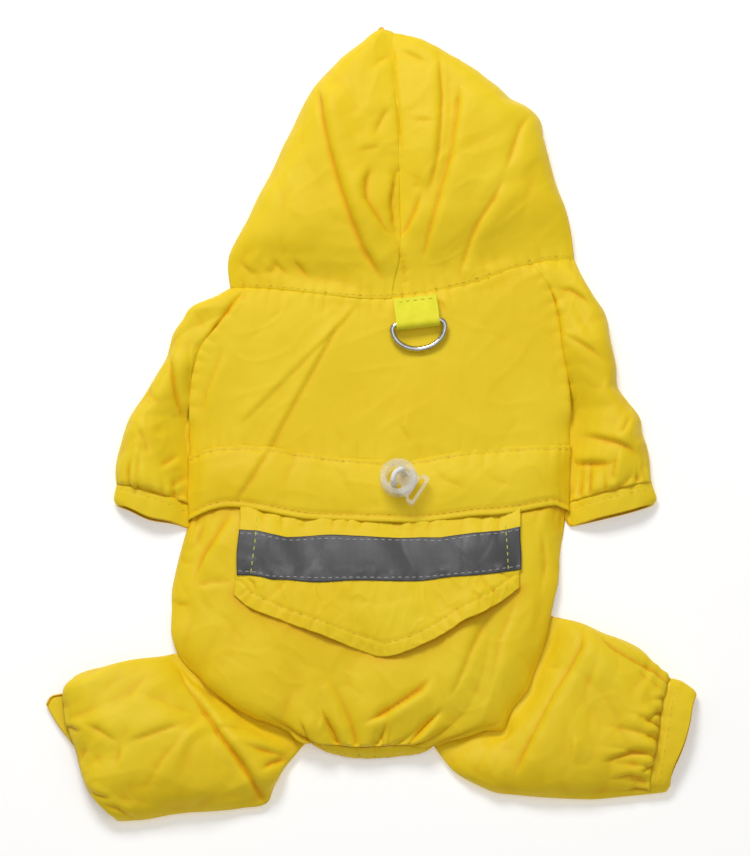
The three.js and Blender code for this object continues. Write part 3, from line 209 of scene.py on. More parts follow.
LEFT_LEG_CUFF = table("ix iy ox oy crown bow", [
    [-127.0, -118.5, -112.2, -165.2, 2.9, 3.3], [-134.2, -120.2, -115.2, -166.4, 2.9, 3],
    [-141.2, -121.6, -117.4, -167.0, 2.9, 1],
])
HOOD_ROW = "ix iy ox oy seam crown hem"
HOOD_LEFT = table(HOOD_ROW, [
    [8.7, 56.2, -60.6, 62.0, 9.0, 9.0, 0.04],
    [10.6, 66, -62.4, 73.4, 10.5, 11.8, 0.30],
    [12.2, 76, -59.8, 82.0, 11.4, 13.6, 0.46],
    [12.8, 88, -51.8, 97.4, 11.6, 15.0, 0.50],
    [12.6, 101, -43.6, 113.4, 12.0, 15.6, 0.52],
    [12.6, 114, -36.0, 129.4, 13.0, 15.6, 0.54],
    [12.2, 128, -28.2, 145.4, 14.0, 15.4, 0.56],
    [11.4, 141, -20.6, 156.6, 13.8, 14.4, 0.58],
    [10.2, 153, -10.6, 166.6, 12.4, 12.4, 0.56],
    [9.0, 163.6, -1.6, 173.6, 9.6, 9.4, 0.5],
    [9.4, 174.4, 3.4, 175.6, 5.6, 5.2, 0.4],
])
HOOD_RIGHT = table(HOOD_ROW, [
    [8.7, 56.2, 88.0, 75.2, 9.0, 9.0, 0.04],
    [10.6, 66, 86.4, 84.0, 10.5, 12.0, 0.30],
    [12.2, 76, 83.6, 95.6, 11.4, 14.0, 0.46],
    [12.8, 88, 80.0, 108.0, 11.6, 15.4, 0.52],
    [12.6, 101, 76.6, 121.4, 12.0, 16.0, 0.56],
    [12.6, 114, 73.2, 134.4, 13.0, 16.0, 0.60],
    [12.2, 128, 65.4, 145.6, 14.0, 15.6, 0.62],
    [11.4, 141, 53.0, 153.2, 13.8, 14.6, 0.62],
    [10.2, 153, 39.0, 163.6, 12.4, 12.6, 0.58],
    [9.0, 163.6, 23.6, 172.0, 9.6, 9.6, 0.5],
    [9.4, 174.4, 14.4, 174.6, 5.6, 5.2, 0.4],
])

# Where the source puts the hard pieces
BAR = (20.4, 44.2, 12.702)
LOOP_TURN = math.radians(6.5)
LOOP_TILT = 0.1226
RING_TILT = 0.1207
LOOP_LENGTH = 11.6
WEBBING_WIDTH = 19
WEBBING = 1.0
RING_WIRE = 2.4
RING_INSIDE = 20.6
RING_REACH = 11.6
RING_CORNER = 2.2
LOCK = (11.9, -25.4, 15.569)
LOCK_TURN = math.radians(-33)
LOCK_WIDTH = 16.4
LOCK_HEIGHT = 7.0
BUTTON = {"width": 11.0, "height": 4.2, "out": 5.0, "back": 2.3}
CORD = 2.0
CORD_SPACING = 7.0
CORD_HOLE = 2.9

# Seen from the camera, 2.3 pixels of the 750 by 856 picture are a millimetre
PX_PER_MM = 2.3
MIDDLE_PX = (371, 428)
ELEVATION = math.radians(78)


def from_px(px, py, z=10.0):
    """The place in the tables' millimetres of a place in the picture, at height z."""
    x = (px - MIDDLE_PX[0]) / PX_PER_MM
    y = ((MIDDLE_PX[1] - py) / PX_PER_MM - math.cos(ELEVATION) * z) / math.sin(ELEVATION)
    return x, y


def line_px(*numbers, of=2):
    """A line from its places in the picture, each one's x and y, and with of=3 its height."""
    return np.array([from_px(*numbers[k:k + of]) for k in range(0, len(numbers), of)])


def nearest(line, x, y):
    """Signed distance to a line, above 0 on its left, the length along it to there, and its whole length."""
    best, side, at, start = np.full(x.shape, 1e9), np.ones(x.shape), np.zeros(x.shape), 0.0
    for (ax, ay), (bx, by) in zip(line[:-1], line[1:]):
        dx, dy = bx - ax, by - ay
        long = math.hypot(dx, dy)
        t = clamp(((x - ax) * dx + (y - ay) * dy) / long ** 2)
        px, py = x - ax - t * dx, y - ay - t * dy
        far = np.hypot(px, py)
        nearer = far < best
        best = np.where(nearer, far, best)
        side = np.where(nearer, np.where(dx * py - dy * px < 0, -1.0, 1.0), side)
        at = np.where(nearer, start + t * long, at)
        start += long
    return best * side, at, start


def mottle(x, y, size, seed):
    """Smooth unevenness from about -1 to 1, its humps about half of size across."""
    rng = np.random.default_rng(seed)
    total = np.zeros(x.shape)
    for _ in range(12):
        angle, wave, phase = rng.uniform(0, math.pi), size * rng.uniform(0.6, 1.6), rng.uniform(0, 2 * math.pi)
        total += np.sin(2 * math.pi * (x * math.cos(angle) + y * math.sin(angle)) / wave + phase)
    return total / 4.0


def crumple(x, y, size, seed):
    """Soft ridges in a loose net, from 0 to 1."""
    return clamp(1 - 2.2 * np.abs(mottle(x, y, size, seed))) ** 1.5


def facets(x, y, size, seed):
    """Flat planes meeting in crisp lines, from -1 to 1, as thin stiff cloth breaks when it is handled."""
    rng = np.random.default_rng(seed)
    heights = rng.uniform(-1, 1, (64, 64))
    angle = rng.uniform(0, math.pi)
    v = (y * math.cos(angle) - x * math.sin(angle)) / (1.25 * size) + 0.3 * mottle(x, y, 3.4 * size, seed + 1)
    u = (x * math.cos(angle) + y * math.sin(angle)) / size + 0.3 * mottle(x, y, 3.1 * size, seed + 2) + 0.5 * v
    column, row = np.floor(u).astype(int), np.floor(v).astype(int)
    fu, fv = u - column, v - row

    def corner(i, j):
        return heights[(column + i) % 64, (row + j) % 64]

    low = corner(0, 0) * (1 - fu - fv) + corner(1, 0) * fu + corner(0, 1) * fv
    high = corner(1, 1) * (fu + fv - 1) + corner(0, 1) * (1 - fu) + corner(1, 0) * (1 - fv)
    return np.where(fu + fv < 1, low, high)


# Where corners and bulges of the outline lie off the tables' smooth lines: a place, the move and its reach,
# in picture pixels
PULLS = table("x y dx dy reach", [
    [386, 30, 0, -2, 14], [512, 94, -3, 4, 14], [536, 120, 4, -1, 14], [566, 222, 3, 0, 34],
    [248, 224, 2, 0, 34], [606, 312, 4, 0, 20], [622, 384, -4, 2, 14], [640, 414, 3, 0, 12],
    [656, 476, -4, 0, 20], [194, 304, -3, -2, 14], [112, 500, 1, 3, 12], [146, 520, 0, 4, 20],
    [60, 684, -9, -7, 18], [76, 752, 7, -2, 30], [112, 818, -5, 4, 13], [267, 803, 6, 3, 12],
    [150, 820, 0, 2, 24], [678, 678, 5, -5, 15], [684, 778, -8, 0, 26], [632, 650, 1, -4, 26],
    [474, 784, 3, -2, 20], [390, 758, 0, -4, 40], [497, 722, 6, 10, 14], [528, 690, 3, 0, 14],
    [697, 690, 3, -3, 8], [270, 806, 3, 3, 7], [172, 612, 2, 0, 20],
])

# Creases, listed one by one: the line in the picture, the trough's depth and width, and beside it a ridge's
# height and reach, above 0 on the left of the line's way.
CREASE = "line depth width ridge reach"
HOOD_CREASES = table(CREASE, [
    [[318, 82,  323, 120,  330, 152,  341, 191,  352, 222,  364, 250,  386, 284], 1.5, 1.3, 1.3, 4.5],
    [[392, 36,  395, 63,  397, 95,  399, 127,  402, 164], 1.1, 0.75, 0, 1],
    [[402, 164,  395, 177,  393, 192,  391, 206,  394, 228,  396, 241], 1.0, 0.8, 0.8, -3.0],
    [[396, 241,  402, 256,  405, 270,  406, 290], 0.9, 0.8, 0.3, 3.0],
    [[394, 106,  386, 113,  379, 126,  373, 140], 1.0, 1.8, 0.5, -4.0],
    [[357, 154,  368, 151,  382, 148], 0.7, 1.2, 0.4, 3.0],
    [[372, 164,  366, 184,  366, 201,  375, 215,  386, 231,  397, 242], 1.1, 1.0, 0.9, -3.6],
    [[422, 192,  414, 213,  406, 230,  397, 242], 1.3, 0.8, 0.9, 3.2],
    [[439, 50,  442, 95,  441, 127,  438, 159,  431, 186,  422, 196], 1.0, 0.8, 0.7, -3.4],
    [[460, 80,  456, 120,  450, 159,  441, 190,  434, 216,  422, 264], 1.1, 0.9, 0.8, 4.0],
    [[449, 60,  450, 120,  444, 165,  434, 200], 0.9, 3.0, 0, 1],
    [[394, 47,  414, 55,  432, 64], 0.8, 1.4, 0.4, 3.0],
    [[393, 52,  380, 60,  370, 70], 0.8, 1.6, 0.3, 3.0],
    [[411, 121,  424, 122,  437, 124], 0.6, 0.8, 0.3, 2.0],
    [[388, 174,  396, 172,  401, 175], 0.6, 1.2, 0, 1],
    [[534, 108,  521, 129,  512, 156,  505, 177], 1.3, 2.6, 0.9, 6.0],
    [[505, 177,  494, 202,  480, 222,  471, 241,  464, 261,  458, 282], 0.9, 1.1, 0.7, 4.0],
    [[240, 258,  251, 271,  262, 272], 0.9, 1.4, 0.6, 3.0],
    [[262, 272,  273, 269,  275, 258], 0.8, 1.2, 0.4, 3.0],
    [[274, 260,  281, 268,  289, 274], 0.8, 1.0, 0.4, 2.4],
    [[293, 258,  301, 268,  310, 278], 0.8, 1.1, 0.5, 2.4],
    [[478, 270,  486, 275,  494, 276], 0.5, 1.2, 0, 1],
    [[426, 190,  418, 188,  412, 188], 0.5, 1.4, 0, 1],
    [[312, 70,  300, 96,  286, 130], 0.35, 3.5, 0, 1],
    [[336, 60,  352, 84,  362, 112], 0.5, 3.0, 0, 1],
    [[470, 60,  520, 88,  556, 122], 0.35, 3.5, 0, 1],
    [[545, 150,  530, 190,  520, 236], 0.4, 3.2, 0, 1],
    [[300, 150,  290, 190,  270, 236], 0.35, 3.4, 0, 1],
])
BACK_CREASES = table(CREASE, [
    [[361, 300,  344, 321,  322, 344,  303, 362,  275, 390,  236, 428], 0.35, 1.0, 0.45, -2.6],
    [[340, 322,  322, 354,  305, 384,  282, 425,  272, 444,  256, 470,  232, 503], 0.5, 1.1, 0.6, -2.6],
    [[405, 404,  401, 426,  410, 440,  406, 449], 0.5, 1.0, 0.35, 2.4],
    [[436, 298,  444, 306,  446, 318], 0.5, 1.0, 0.3, 2.4],
    [[384, 292,  381, 305,  384, 318], 0.5, 1.0, 0, 1],
    [[546, 296,  552, 330,  556, 370,  558, 410], 0.3, 2.8, 0, 1],
    [[225, 340,  219, 360,  207, 388,  200, 420], 0.5, 2.0, 0.5, 3.6],
    [[470, 300,  490, 330,  520, 350], 0.35, 3.2, 0, 1],
    [[450, 360,  470, 396,  478, 432], 0.3, 3.0, 0, 1],
    [[300, 300,  270, 318,  240, 350], 0.4, 3.4, 0, 1],
    [[520, 412,  505, 436,  500, 446], 0.3, 1.6, 0, 1],
    [[330, 425,  345, 440,  352, 452], 0.3, 1.8, 0, 1],
])
BAND_CREASES = table(CREASE, [
    [[276, 440,  262, 462,  252, 478,  230, 509], 0.7, 1.2, 0.6, -3.0],
    [[300, 455,  290, 470,  282, 492], 0.35, 2.2, 0, 1],
    [[330, 462,  345, 478,  352, 500], 0.5, 2.2, 0.3, 4.0],
    [[430, 462,  445, 480,  470, 490], 0.5, 2.0, 0.3, 3.6],
    [[480, 470,  500, 482,  524, 488], 0.5, 1.8, 0, 1],
    [[372, 498,  378, 508,  380, 519], 0.4, 1.2, 0, 1],
    [[412, 500,  416, 510,  424, 519], 0.5, 1.2, 0, 1],
    [[530, 450,  540, 470,  545, 496], 0.3, 2.4, 0, 1],
])
LOWER_CREASES = table(CREASE, [
    [[432, 676,  420, 690,  406, 699,  385, 712,  362, 724], 2.2, 1.5, 1.8, 5.0],
    [[490, 610,  471, 650,  458, 682,  447, 702], 0.8, 2.6, 0.9, -7.0],
    [[444, 708,  428, 722,  414, 736,  403, 747], 2.2, 1.3, 1.6, 4.0],
    [[190, 668,  205, 686,  229, 702,  258, 716,  290, 728,  312, 745], 2.0, 1.7, 2.0, 6.0],
    [[320, 704,  328, 722,  336, 736,  342, 748], 2.0, 1.2, 1.5, -4.0],
    [[316, 706,  320, 716,  318, 730], 0.7, 1.4, 0.4, 3.0],
    [[345, 742,  352, 748,  358, 753], 0.9, 1.0, 0.6, 2.2],
    [[380, 730,  383, 742,  382, 752], 0.8, 1.0, 0.5, -2.2],
    [[392, 726,  388, 742,  386, 752], 0.8, 1.0, 0, 1],
    [[300, 716,  308, 730,  314, 744], 0.9, 1.2, 0.6, 2.6],
    [[232, 507,  214, 538,  204, 553,  193, 580], 1.5, 1.9, 1.2, 5.0],
    [[205, 516,  196, 540,  186, 552], 0.8, 1.4, 0.6, -3.0],
    [[234, 580,  209, 582,  188, 586], 0.7, 1.6, 0.4, 3.4],
    [[177, 551,  186, 560,  196, 558], 0.6, 1.3, 0, 1],
    [[171, 593,  180, 602,  192, 600], 0.6, 1.4, 0.4, 2.6],
    [[196, 596,  226, 618,  250, 650], 0.5, 3.4, 0, 1],
    [[262, 640,  300, 664,  340, 676], 0.4, 4.0, 0, 1],
    [[330, 690,  348, 684,  362, 696,  350, 712], 0.5, 2.4, 0, 1],
    [[540, 520,  545, 560,  538, 600], 0.6, 3.0, 0.6, 6.0],
    [[520, 590,  500, 640,  490, 690], 0.6, 3.2, 0.5, 6.0],
    [[444, 700,  470, 690,  500, 700], 0.3, 3.0, 0, 1],
    [[556, 530,  552, 548,  546, 556], 0.4, 1.6, 0, 1],
    [[416, 744,  440, 738,  470, 734], 0.5, 1.6, 0, 1],
])
SLEEVE_L_CREASES = table(CREASE, [
    [[168, 346,  173, 375,  179, 402,  188, 424], 1.7, 1.3, 1.2, 4.5],
    [[181, 451,  170, 459,  158, 467], 1.1, 1.4, 0.7, 3.0],
    [[186, 473,  178, 480,  168, 486], 1.0, 1.1, 0.6, 2.6],
    [[185, 489,  175, 497,  163, 498], 1.0, 1.1, 0.5, 2.6],
    [[140, 372,  150, 392,  166, 410], 0.6, 2.2, 0.4, 4.0],
    [[132, 420,  146, 440,  150, 462], 0.6, 1.8, 0.4, 4.0],
    [[246, 285,  231, 304,  214, 328,  203, 345], 1.3, 1.2, 0.7, -3.0],
    [[203, 345,  196, 356,  193, 372,  191, 400], 1.0, 1.0, 0.4, 2.4],
    [[226, 330,  214, 344,  202, 358], 1.1, 1.3, 0, 1],
    [[190, 310,  200, 318,  206, 332], 0.5, 2.0, 0, 1],
])
SLEEVE_R_CREASES = table(CREASE, [
    [[553, 287,  571, 289,  584, 297,  597, 309], 1.0, 1.2, 0.8, 3.0],
    [[560, 331,  579, 342,  593, 351,  608, 363], 1.0, 1.4, 0.7, 3.4],
    [[633, 411,  625, 428,  616, 438], 0.9, 1.3, 0.6, 3.0],
    [[577, 431,  596, 436,  618, 443,  632, 449,  643, 458], 1.4, 1.1, 1.0, 3.6],
    [[564, 459,  588, 461,  606, 463,  618, 461], 1.6, 1.3, 1.1, 4.0],
    [[618, 445,  614, 465,  612, 488], 1.0, 1.0, 0.7, 2.8],
    [[642, 464,  641, 474,  637, 484], 0.9, 1.0, 0.5, 2.4],
    [[631, 474,  626, 482,  619, 487], 0.9, 1.1, 0.4, 2.4],
    [[569, 470,  569, 484,  568, 498], 1.1, 1.1, 0, 1],
    [[590, 470,  586, 480,  580, 492], 0.6, 1.4, 0.4, 2.6],
    [[546, 277,  552, 296,  557, 317,  562, 345,  566, 383], 1.1, 1.0, 0.6, 3.0],
    [[575, 375,  590, 385,  610, 392], 0.45, 2.6, 0, 1],
    [[566, 300,  572, 318,  585, 326], 0.4, 2.2, 0, 1],
])
LEG_L_CREASES = table(CREASE, [
    [[172, 640,  177, 654,  186, 681,  203, 706,  220, 734,  241, 761,  270, 804], 3.4, 1.5, 1.7, 8.0],
    [[213, 729,  228, 727,  244, 727], 0.6, 1.2, 0.4, 3.0],
    [[238, 744,  262, 748,  292, 753], 1.5, 1.5, 1.4, 3.8],
    [[258, 770,  272, 761,  292, 755], 2.0, 1.3, 1.4, -3.6],
    [[82, 721,  100, 730,  122, 745], 0.6, 1.4, 0.9, 6.0],
    [[122, 745,  156, 734,  192, 721], 0.6, 1.4, 1.0, 7.0],
    [[122, 745,  120, 756,  116, 768], 0.6, 1.1, 0.4, 2.6],
    [[186, 733,  161, 763,  143, 796], 0.45, 1.2, 0.5, 3.4],
    [[150, 672,  136, 688,  122, 703], 0.5, 1.5, 0.4, 4.0],
    [[88, 740,  84, 756,  92, 770], 0.5, 2.0, 0, 1],
    [[56, 712,  64, 704,  62, 696], 1.0, 1.1, 0.6, 2.4],
    [[60, 722,  72, 725,  84, 732], 1.1, 1.0, 0.8, 2.4],
    [[90, 784,  98, 792,  112, 797], 1.1, 1.1, 0.8, 2.6],
    [[100, 800,  118, 806,  142, 818], 0.9, 1.3, 0.6, 3.0],
    [[76, 746,  92, 752,  110, 770], 0.4, 2.2, 0, 1],
    [[120, 790,  150, 784,  176, 790], 0.4, 2.6, 0, 1],
    [[130, 664,  112, 684,  96, 700], 0.4, 3.0, 0, 1],
])
LEG_R_CREASES = table(CREASE, [
    [[583, 622,  580, 647,  567, 668,  551, 694,  538, 721,  521, 755,  512, 778], 0.8, 1.3, 1.4, 7.0],
    [[536, 661,  548, 664,  560, 667], 0.9, 1.2, 0.6, -2.8],
    [[571, 736,  571, 750,  570, 763], 0.5, 1.0, 0.4, 2.4],
    [[592, 632,  612, 646,  632, 658,  652, 668,  674, 684], 1.6, 1.4, 0.6, 3.4],
    [[642, 724,  652, 714,  667, 707], 1.2, 1.1, 0.9, 3.0],
    [[600, 764,  616, 757,  632, 752,  657, 751], 1.4, 1.2, 1.0, 3.4],
    [[640, 772,  648, 766,  655, 763], 1.1, 1.0, 0.6, 2.4],
    [[608, 780,  628, 775,  652, 777], 1.0, 1.1, 0.6, 2.4],
    [[648, 700,  660, 697,  672, 697], 0.9, 1.0, 0.6, 2.4],
    [[640, 738,  650, 734,  662, 733], 0.7, 1.0, 0.4, 2.2],
    [[590, 700,  600, 724,  596, 750], 0.45, 3.4, 0, 1],
    [[452, 750,  480, 772,  510, 784], 0.5, 2.4, 0, 1],
    [[612, 632,  618, 664,  606, 700], 0.4, 3.2, 0, 1],
    [[530, 700,  520, 730,  500, 756], 0.5, 3.0, 0, 1],
])
TAPE_CREASES = table(CREASE, [
    [[447, 537,  456, 550,  472, 568], 0.3, 1.6, 0.25, 4.0],
    [[398, 536,  404, 552,  416, 574], 0.2, 2.4, 0.2, 5.0],
    [[270, 533,  268, 556,  272, 580], 0.25, 3.0, 0.2, -5.0],
    [[330, 535,  318, 556,  304, 578], 0.15, 3.4, 0.15, 6.0],
    [[496, 529,  488, 548,  476, 568], 0.15, 2.6, 0.15, 4.0],
])
FLAP_CREASES = table(CREASE, [
    [[280, 514,  272, 528,  268, 534], 0.6, 1.2, 0.4, 2.4],
    [[300, 518,  290, 530,  284, 536], 0.6, 1.1, 0.4, 2.4],
    [[330, 522,  322, 530,  318, 536], 0.5, 1.0, 0.3, 2.0],
    [[352, 524,  346, 534,  344, 538], 0.5, 1.0, 0.3, 2.0],
    [[385, 524,  392, 531,  394, 537], 0.5, 1.1, 0.3, -2.0],
    [[412, 524,  420, 532,  424, 538], 0.5, 1.1, 0.3, -2.0],
    [[440, 522,  448, 529,  454, 535], 0.6, 1.1, 0.3, -2.4],
    [[470, 518,  480, 526,  486, 532], 0.6, 1.1, 0.3, -2.4],
    [[494, 515,  500, 523,  502, 530], 0.5, 1.1, 0.3, -2.4],
    [[290, 580,  272, 596,  262, 606], 0.5, 1.4, 0.3, 2.6],
    [[246, 578,  254, 584,  256, 594], 0.7, 1.0, 0.4, 2.4],
    [[480, 575,  488, 588,  500, 596], 0.6, 1.1, 0.4, 2.4],
    [[470, 590,  478, 598,  484, 606], 0.6, 1.0, 0.4, 2.2],
    [[492, 568,  504, 576,  514, 580], 0.6, 1.0, 0.4, 2.2],
    [[340, 600,  380, 606,  420, 596], 0.3, 3.0, 0, 1],
    [[302, 590,  330, 604,  352, 622], 0.3, 2.6, 0, 1],
])


def creases(rows, x, y, soft=1.0):
    """The height that a table of creases adds at each place. soft widens them."""
    height = np.zeros(x.shape)
    for row in rows:
        line = line_px(*row["line"])
        width, reach = soft * row["width"], soft * row["reach"]
        margin = 4 * width + 4 * abs(reach) + 2
        low, high = line.min(0) - margin, line.max(0) + margin
        near = (x > low[0]) & (x < high[0]) & (y > low[1]) & (y < high[1])
        if not near.any():
            continue
        d, at, length = nearest(line, x[near], y[near])
        end = min(0.45 * length, 12)
        fade = smooth((at + 0.6) / end) * smooth((length - at + 0.6) / end)
        trough = -0.9 * row["depth"] * np.exp(-np.abs(d) / (0.85 * width))
        side = d / reach
        ridge = 1.7 * row["ridge"] * (1 - np.exp(-clamp(side) / 0.3)) * bell(side, 1.7) * (side > 0)
        height[near] += fade * (trough + ridge)
    return height


def seam(line, x, y, groove, width, pucker, pitch, reach, seed):
    """A sewn line: a narrow groove with small puckers across it, uneven in width and length."""
    d, at, _ = nearest(line, x, y)
    uneven = at / pitch + 0.35 * mottle(at, 0 * at, 5 * pitch, seed)
    long = reach * (1 + 0.4 * mottle(at, 0 * at, 3 * pitch, seed + 7))
    waves = (np.abs(np.sin(math.pi * uneven)) ** 0.7 - 0.6) * bell(d, long)
    return -groove * bell(d, width) + 2 * pucker * waves


def gathers(share, run, count, height, reach, phase, seed):
    """Puffs between sharp tucks that a gathered edge sends up the cloth, uneven in width and length."""
    uneven = share + 0.022 * np.sin(11 * share + phase) + 0.012 * np.sin(27 * share + 2 * phase)
    long = reach * (1 + 0.6 * mottle(8 * share, 0 * share, 3.0, seed))
    tall = 1 + 0.4 * mottle(8 * share, 0 * share, 2.2, seed + 1)
    puffs = np.abs(np.sin(math.pi * count * uneven + phase)) ** 0.7 - 0.6
    return height * tall * puffs * bell(run, np.maximum(long, 2))


# Forms: coarse grids of points from the tables

def neck_y(x):
    return np.interp(x, [row["x"] for row in NECK], [row["y"] for row in NECK])


def neck_z(x):
    low, high = NECK[0]["x"], NECK[-1]["x"]
    side = clamp(np.abs((2 * x - low - high) / (high - low)))
    return FOLD + (NECK_CROWN - FOLD) * (1 - side ** BOXINESS) ** 0.5


def body_section(row, count):
    points = []
    for share in spread(count):
        side = 2 * share - 1
        edge, rounded = (row["lz"], row["lround"]) if side < 0 else (row["rz"], row["rround"])
        points.append((
            mix(row["lx"], row["rx"], share),
            mix(row["ly"], row["ry"], share) + row["bow"] * (1 - side * side),
            edge + (row["crown"] - edge) * rise(side, rounded)))
    return points


ARMHOLE_ROWS = 7
BODY_COLUMNS = 24
LOWER_ROWS = 14
TAIL_COLUMNS = 14


def armhole_rows():
    rows = []
    for k in range(ARMHOLE_ROWS + 1):
        left, right = section(ARMHOLE_LEFT, k / ARMHOLE_ROWS), section(ARMHOLE_RIGHT, k / ARMHOLE_ROWS)
        rows.append({
            "lx": left["x"] - SEAM_LAP, "ly": left["y"], "lz": left["z"], "lround": 0,
            "rx": right["x"] + SEAM_LAP, "ry": right["y"], "rz": right["z"], "rround": 0,
            "bow": spline([-9.5, -7.5, -6.2, -5.0, -4.2, -3.6], k / ARMHOLE_ROWS),
            "crown": spline([9.0, 9.6, 9.8, 9.6, 9.2, 9.0], k / ARMHOLE_ROWS)})
    return rows


def back_upper_form():
    grid = np.array([body_section(row, BODY_COLUMNS) for row in [*armhole_rows(), *BACK_MIDDLE, *BACK_BAND]])
    grid[0, :, 1] = neck_y(grid[0, :, 0]) + SEAM_LAP
    grid[0, :, 2] = neck_z(grid[0, :, 0])
    return grid


def back_lower_form():
    return np.array([body_section(row, BODY_COLUMNS) for row in sections(BACK_LOWER, LOWER_ROWS)])


TUBE_PLAIN = {"seam": FOLD, "hem": 0, "bow": 0, "shiftX": 0, "shiftY": 0}


def tube_section(row, upper_count, lower_count):
    inner, outer = np.array([row["ix"], row["iy"]]), np.array([row["ox"], row["oy"]])
    length = np.linalg.norm(outer - inner)
    across = (outer - inner) / length
    forward = np.array([across[1], -across[0]])
    curl = min(0.6, 2 * CURL / length)
    inner_z = mix(row["seam"], FOLD + LAYER_GAP, row["closed"])

    def place(share, z, under):
        plan = mix(inner, outer, share) + forward * row["bow"] * 4 * share * (1 - share)
        return plan[0] + row["shiftX"] * under, plan[1] + row["shiftY"] * under, z

    points = []
    for share in spread(upper_count):
        side = 2 * share - 1
        edge, rounded = (inner_z, row["closed"]) if side < 0 else (FOLD, 1)
        near_edge = 0.5 * (1 - smooth(8 * share * (1 - share)))
        points.append(place(share, edge + (row["crown"] - edge) * rise(side, rounded), near_edge))
    for step in spread(lower_count)[1:]:
        share = mix(1, row["hem"], step)
        side = 2 * share - 1
        lift = clamp((abs(side) - (1 - curl)) / curl) ** 2
        high = FOLD if side > 0 else (FOLD - LAYER_GAP) * row["closed"]
        points.append(place(share, high * lift, 1 - 0.5 * (1 - smooth(8 * share * (1 - share)))))
    return points


def tube_form(rows, upper_count, lower_count, **plain):
    return np.array([tube_section({**TUBE_PLAIN, **plain, **row}, upper_count, lower_count) for row in rows])


# Columns of a tube's upper layer, and of its lower one
SLEEVE_UPPER = 18
LEG_UPPER = 20
CUFF_UPPER = 14
HOOD_UPPER = 18
UNDER = 6
HOOD_ROWS = 14
SLEEVE_TUCK = 4.0               # how far a sleeve's inner edge goes in under the back's
CUFF_LAP = 1.5                  # how far a cuff's start goes in under the end of its tube
CUFF_LIFT = 0.2                 # a cuff's start lies above the floor, clear of its tube's wall


def sleeve_form(low, high, armhole, inwards):
    rows = [{**row, "closed": 1, "ix": row["ix"] + inwards * SLEEVE_TUCK * min(1, 1.25 - k / 5)}
            for k, row in enumerate(sections(low, 5))]
    for k, row in enumerate(sections(high, ARMHOLE_ROWS)):
        edge = section(armhole, 1 - k / ARMHOLE_ROWS)
        rows.append({
            **row, "ix": edge["x"] + inwards * SEAM_LAP, "iy": edge["y"], "seam": edge["z"], "closed": 0})
    grid = tube_form(rows, SLEEVE_UPPER, UNDER)
    grid[-1, :, 1] = neck_y(grid[-1, :, 0]) + SEAM_LAP
    grid[-1, :SLEEVE_UPPER + 1, 2] = neck_z(grid[-1, :SLEEVE_UPPER + 1, 0])
    return grid


BACK_EDGES = {
    side: np.array([(row[side + "x"], row[side + "y"])
                    for row in [*sections(BACK_LOWER, LOWER_ROWS), TAIL_HEM[2]]])
    for side in "lr"
}


def free_of_back(side, x, y):
    """0 where a leg is tucked under the lower back, rising to 1 where it lies free."""
    d, _, _ = nearest(BACK_EDGES[side], x, y)
    beyond = -d if side == "l" else d
    return 1 - np.exp(-np.maximum(0, beyond - TUCK_MARGIN) / TUCK_REACH)


def leg_form(side, rows):
    grid = tube_form(rows, LEG_UPPER, UNDER, closed=1)
    upper = grid[:, :LEG_UPPER + 1]
    free = free_of_back(side, upper[..., 0], upper[..., 1])
    upper[..., 2] = np.where(upper[..., 2] > TUCK, mix(TUCK, upper[..., 2], free), upper[..., 2])
    return grid


def hood_form(rows, inset):
    made = [{**row, "ix": row["ix"] + inset} for row in sections(rows, HOOD_ROWS)]
    closing = {**made[-1], "seam": 0.9, "crown": 0.9, "iy": made[-1]["iy"] + 1.1}
    grid = tube_form([*made, closing], HOOD_UPPER, UNDER, closed=0)
    for j in range(4):
        upper = grid[j, :HOOD_UPPER + 1]
        upper[:, 2] = mix(neck_z(upper[:, 0]), upper[:, 2], smooth(j / 4))
    grid[0, :, 1] = neck_y(grid[0, :, 0]) - SEAM_LAP
    return grid


def joined(cuff, first):
    """A cuff's rows, the first one moved a little way in under the end of its tube."""
    start = dict(cuff[0])
    if first:
        start.update(ox=first["ox"], oy=first["oy"])
        for end in "io":
            x, y = cuff[1][end + "x"] - start[end + "x"], cuff[1][end + "y"] - start[end + "y"]
            start[end + "x"] -= CUFF_LAP * x / math.hypot(x, y)
            start[end + "y"] -= CUFF_LAP * y / math.hypot(x, y)
    rows = [start, *cuff[1:]]
    made = sections(rows, 6)
    for k, inwards in ((5, 0.6), (6, 2.0)):
        row = made[k]
        width = math.hypot(row["ox"] - row["ix"], row["oy"] - row["iy"])
        for axis in "xy":
            step = (row["o" + axis] - row["i" + axis]) * inwards / width
            row["o" + axis] -= step
            row["i" + axis] += step
    return made


CLOSURE_ENDS = (55.6, -92)      # y where the belly's closure starts and ends
CLOSURE_LAP = 6                 # how far each side goes on past the closure's line
CLOSURE_STEP = 2.4              # over which the upper side rises onto the lower one
BELLY_Z = 0.5
BELLY_LAP = 0.5                 # height of the upper side over the lower one


